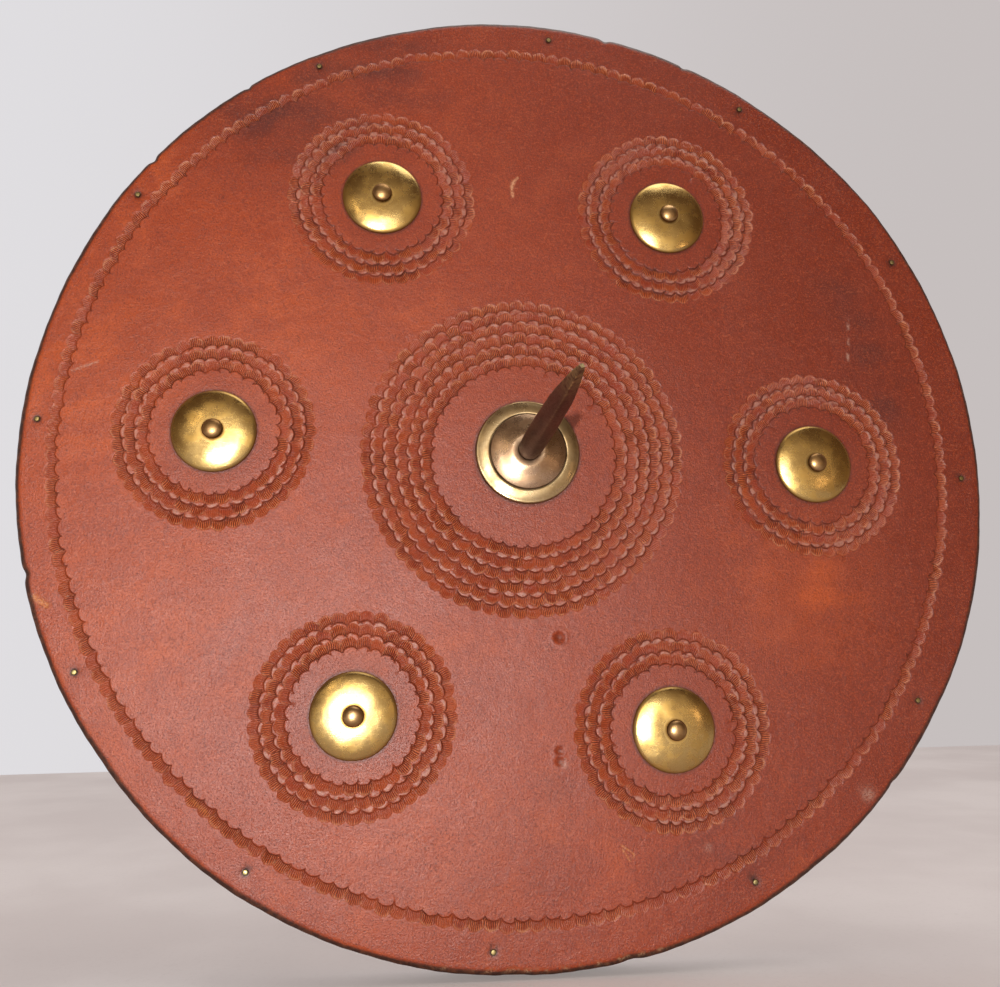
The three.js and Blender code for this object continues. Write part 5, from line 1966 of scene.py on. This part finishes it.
edge_run = (shelf_far_right - shelf_far_left).normalized()
far_left = shelf_far_left - edge_run * shelf_more
far_right = shelf_far_right + edge_run * shelf_more
near_drop = Vector((edge_run.y, -edge_run.x)) * shelf_depth
corners = [far_left, far_left + near_drop, far_right + near_drop, far_right]
shelf_points = np.array([[corner.x, corner.y, shelf_top - shelf_gap] for corner in corners])
shelf = mesh_object("shelf", shelf_points, [np.array([[0, 1, 2, 3]])], shelf_surface())
shelf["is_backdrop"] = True

# %% Room and lamps
world = bpy.data.worlds.new("room")
world.use_nodes = True
bpy.context.scene.world = world
room = world.node_tree
direction = room.nodes.new("ShaderNodeTexCoord")
split = room.nodes.new("ShaderNodeSeparateXYZ")
room.links.new(direction.outputs["Generated"], split.inputs["Vector"])


def room_blend(value, low, high, first, second):
    fade = room.nodes.new("ShaderNodeMapRange")
    fade.interpolation_type = "SMOOTHSTEP"
    room.links.new(value, fade.inputs["Value"])
    fade.inputs["From Min"].default_value = low
    fade.inputs["From Max"].default_value = high
    blend = room.nodes.new("ShaderNodeMix")
    blend.data_type = "RGBA"
    room.links.new(fade.outputs["Result"], blend.inputs["Factor"])
    for socket, colour in (("A", first), ("B", second)):
        if isinstance(colour, bpy.types.NodeSocket):
            room.links.new(colour, blend.inputs[socket])
        else:
            blend.inputs[socket].default_value = colour
    return blend.outputs["Result"]


dim_room = room_blend(split.outputs["Z"], -0.1, 0.5, screen(106, 82, 56), screen(78, 56, 38))
front_room = room_blend(split.outputs["Y"], -0.97, -0.72, screen(168, 148, 124), dim_room)
wall = room_blend(split.outputs["X"], -0.45, 0.55, screen(224, 222, 225), screen(198, 191, 190))
room_colour = room_blend(split.outputs["Y"], -0.3, 0.4, front_room, wall)
room.links.new(room_colour, room.nodes["Background"].inputs["Color"])


def lamp(name, place, target, size, watts, colour=(1, 1, 1)):
    data = bpy.data.lights.new(name, "AREA")
    data.shape = "RECTANGLE"
    data.size, data.size_y = size
    data.energy = watts
    data.color = colour
    thing = bpy.data.objects.new(name, data)
    bpy.context.scene.collection.objects.link(thing)
    thing.location = Vector(place)
    thing.rotation_euler = (Vector(target) - Vector(place)).to_track_quat("-Z", "Y").to_euler()
    return thing


# Places and sizes of the lamps are in metres.
middle = (0, 0, 0)
lamp("key", (-0.288, -1.578, -0.218), middle, (0.035, 0.035), 16.2, (1.0, 0.985, 0.97))
lamp("panel", (-0.09, -1.53, 0.1), middle, (0.45, 0.45), 3.3, (1.0, 0.99, 0.97))
lamp("left_glint", (-0.64, -1.27, 0.47), middle, (0.15, 0.15), 0.25, (1.0, 0.8, 0.5))
lamp("right_glint", (0.86, -1.23, 0.0), middle, (0.15, 0.15), 0.18, (1.0, 0.7, 0.45))
lamp("ceiling", (0.3, -0.2, 1.6), (0, 0, -0.2), (1.2, 1.0), 9, (1.0, 0.98, 0.95))

# %% [markdown]
# ## The camera
# The photograph was taken from close in front, a little below the middle and left of it. The place
# and the tilt were found by fitting the boss centres, the rim and the spike's tip.

# %% Camera
photo_width = 1000
focal_pixels = 889
sensor_width = 36
tilt = [math.radians(degrees) for degrees in (-10.77, 6.58, 0.23)]
middle_from_camera = Vector((14.3, 21.3, -464.2))


def turn_about(axis, angle):
    return np.array(Matrix.Rotation(angle, 3, axis))


plate_to_camera = turn_about("X", tilt[0]) @ turn_about("Y", tilt[1]) @ turn_about("Z", tilt[2])
stand = -np.array(middle_from_camera) @ plate_to_camera
right, up, back = (Vector((row[0], -row[2], row[1])) for row in plate_to_camera)
camera_data = bpy.data.cameras.new("camera")
camera_data.sensor_width = sensor_width
camera_data.lens = focal_pixels / photo_width * sensor_width
camera_data.clip_start = 0.01
camera = bpy.data.objects.new("camera", camera_data)
bpy.context.scene.collection.objects.link(camera)
place = Vector((stand[0], face_y - stand[2], stand[1])) * mm
camera.matrix_world = Matrix.Translation(place) @ Matrix((right, up, back)).transposed().to_4x4()
bpy.context.scene.camera = camera
bpy.context.scene.view_settings.view_transform = "Standard"
print("camera at", [round(value, 3) for value in place])

# %% [markdown]
# ## The sizes at the end
# Both boxes, the solids' and the dressed shield's, are printed. The dressed shield has to stay
# inside the box of its solids and nearly fill it.

# %% Sizes and finish
new_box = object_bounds()
for title, box in (("solids", cad_box), ("dressed", new_box)):
    print(title, [round(value / mm, 1) for corner in box for value in corner])
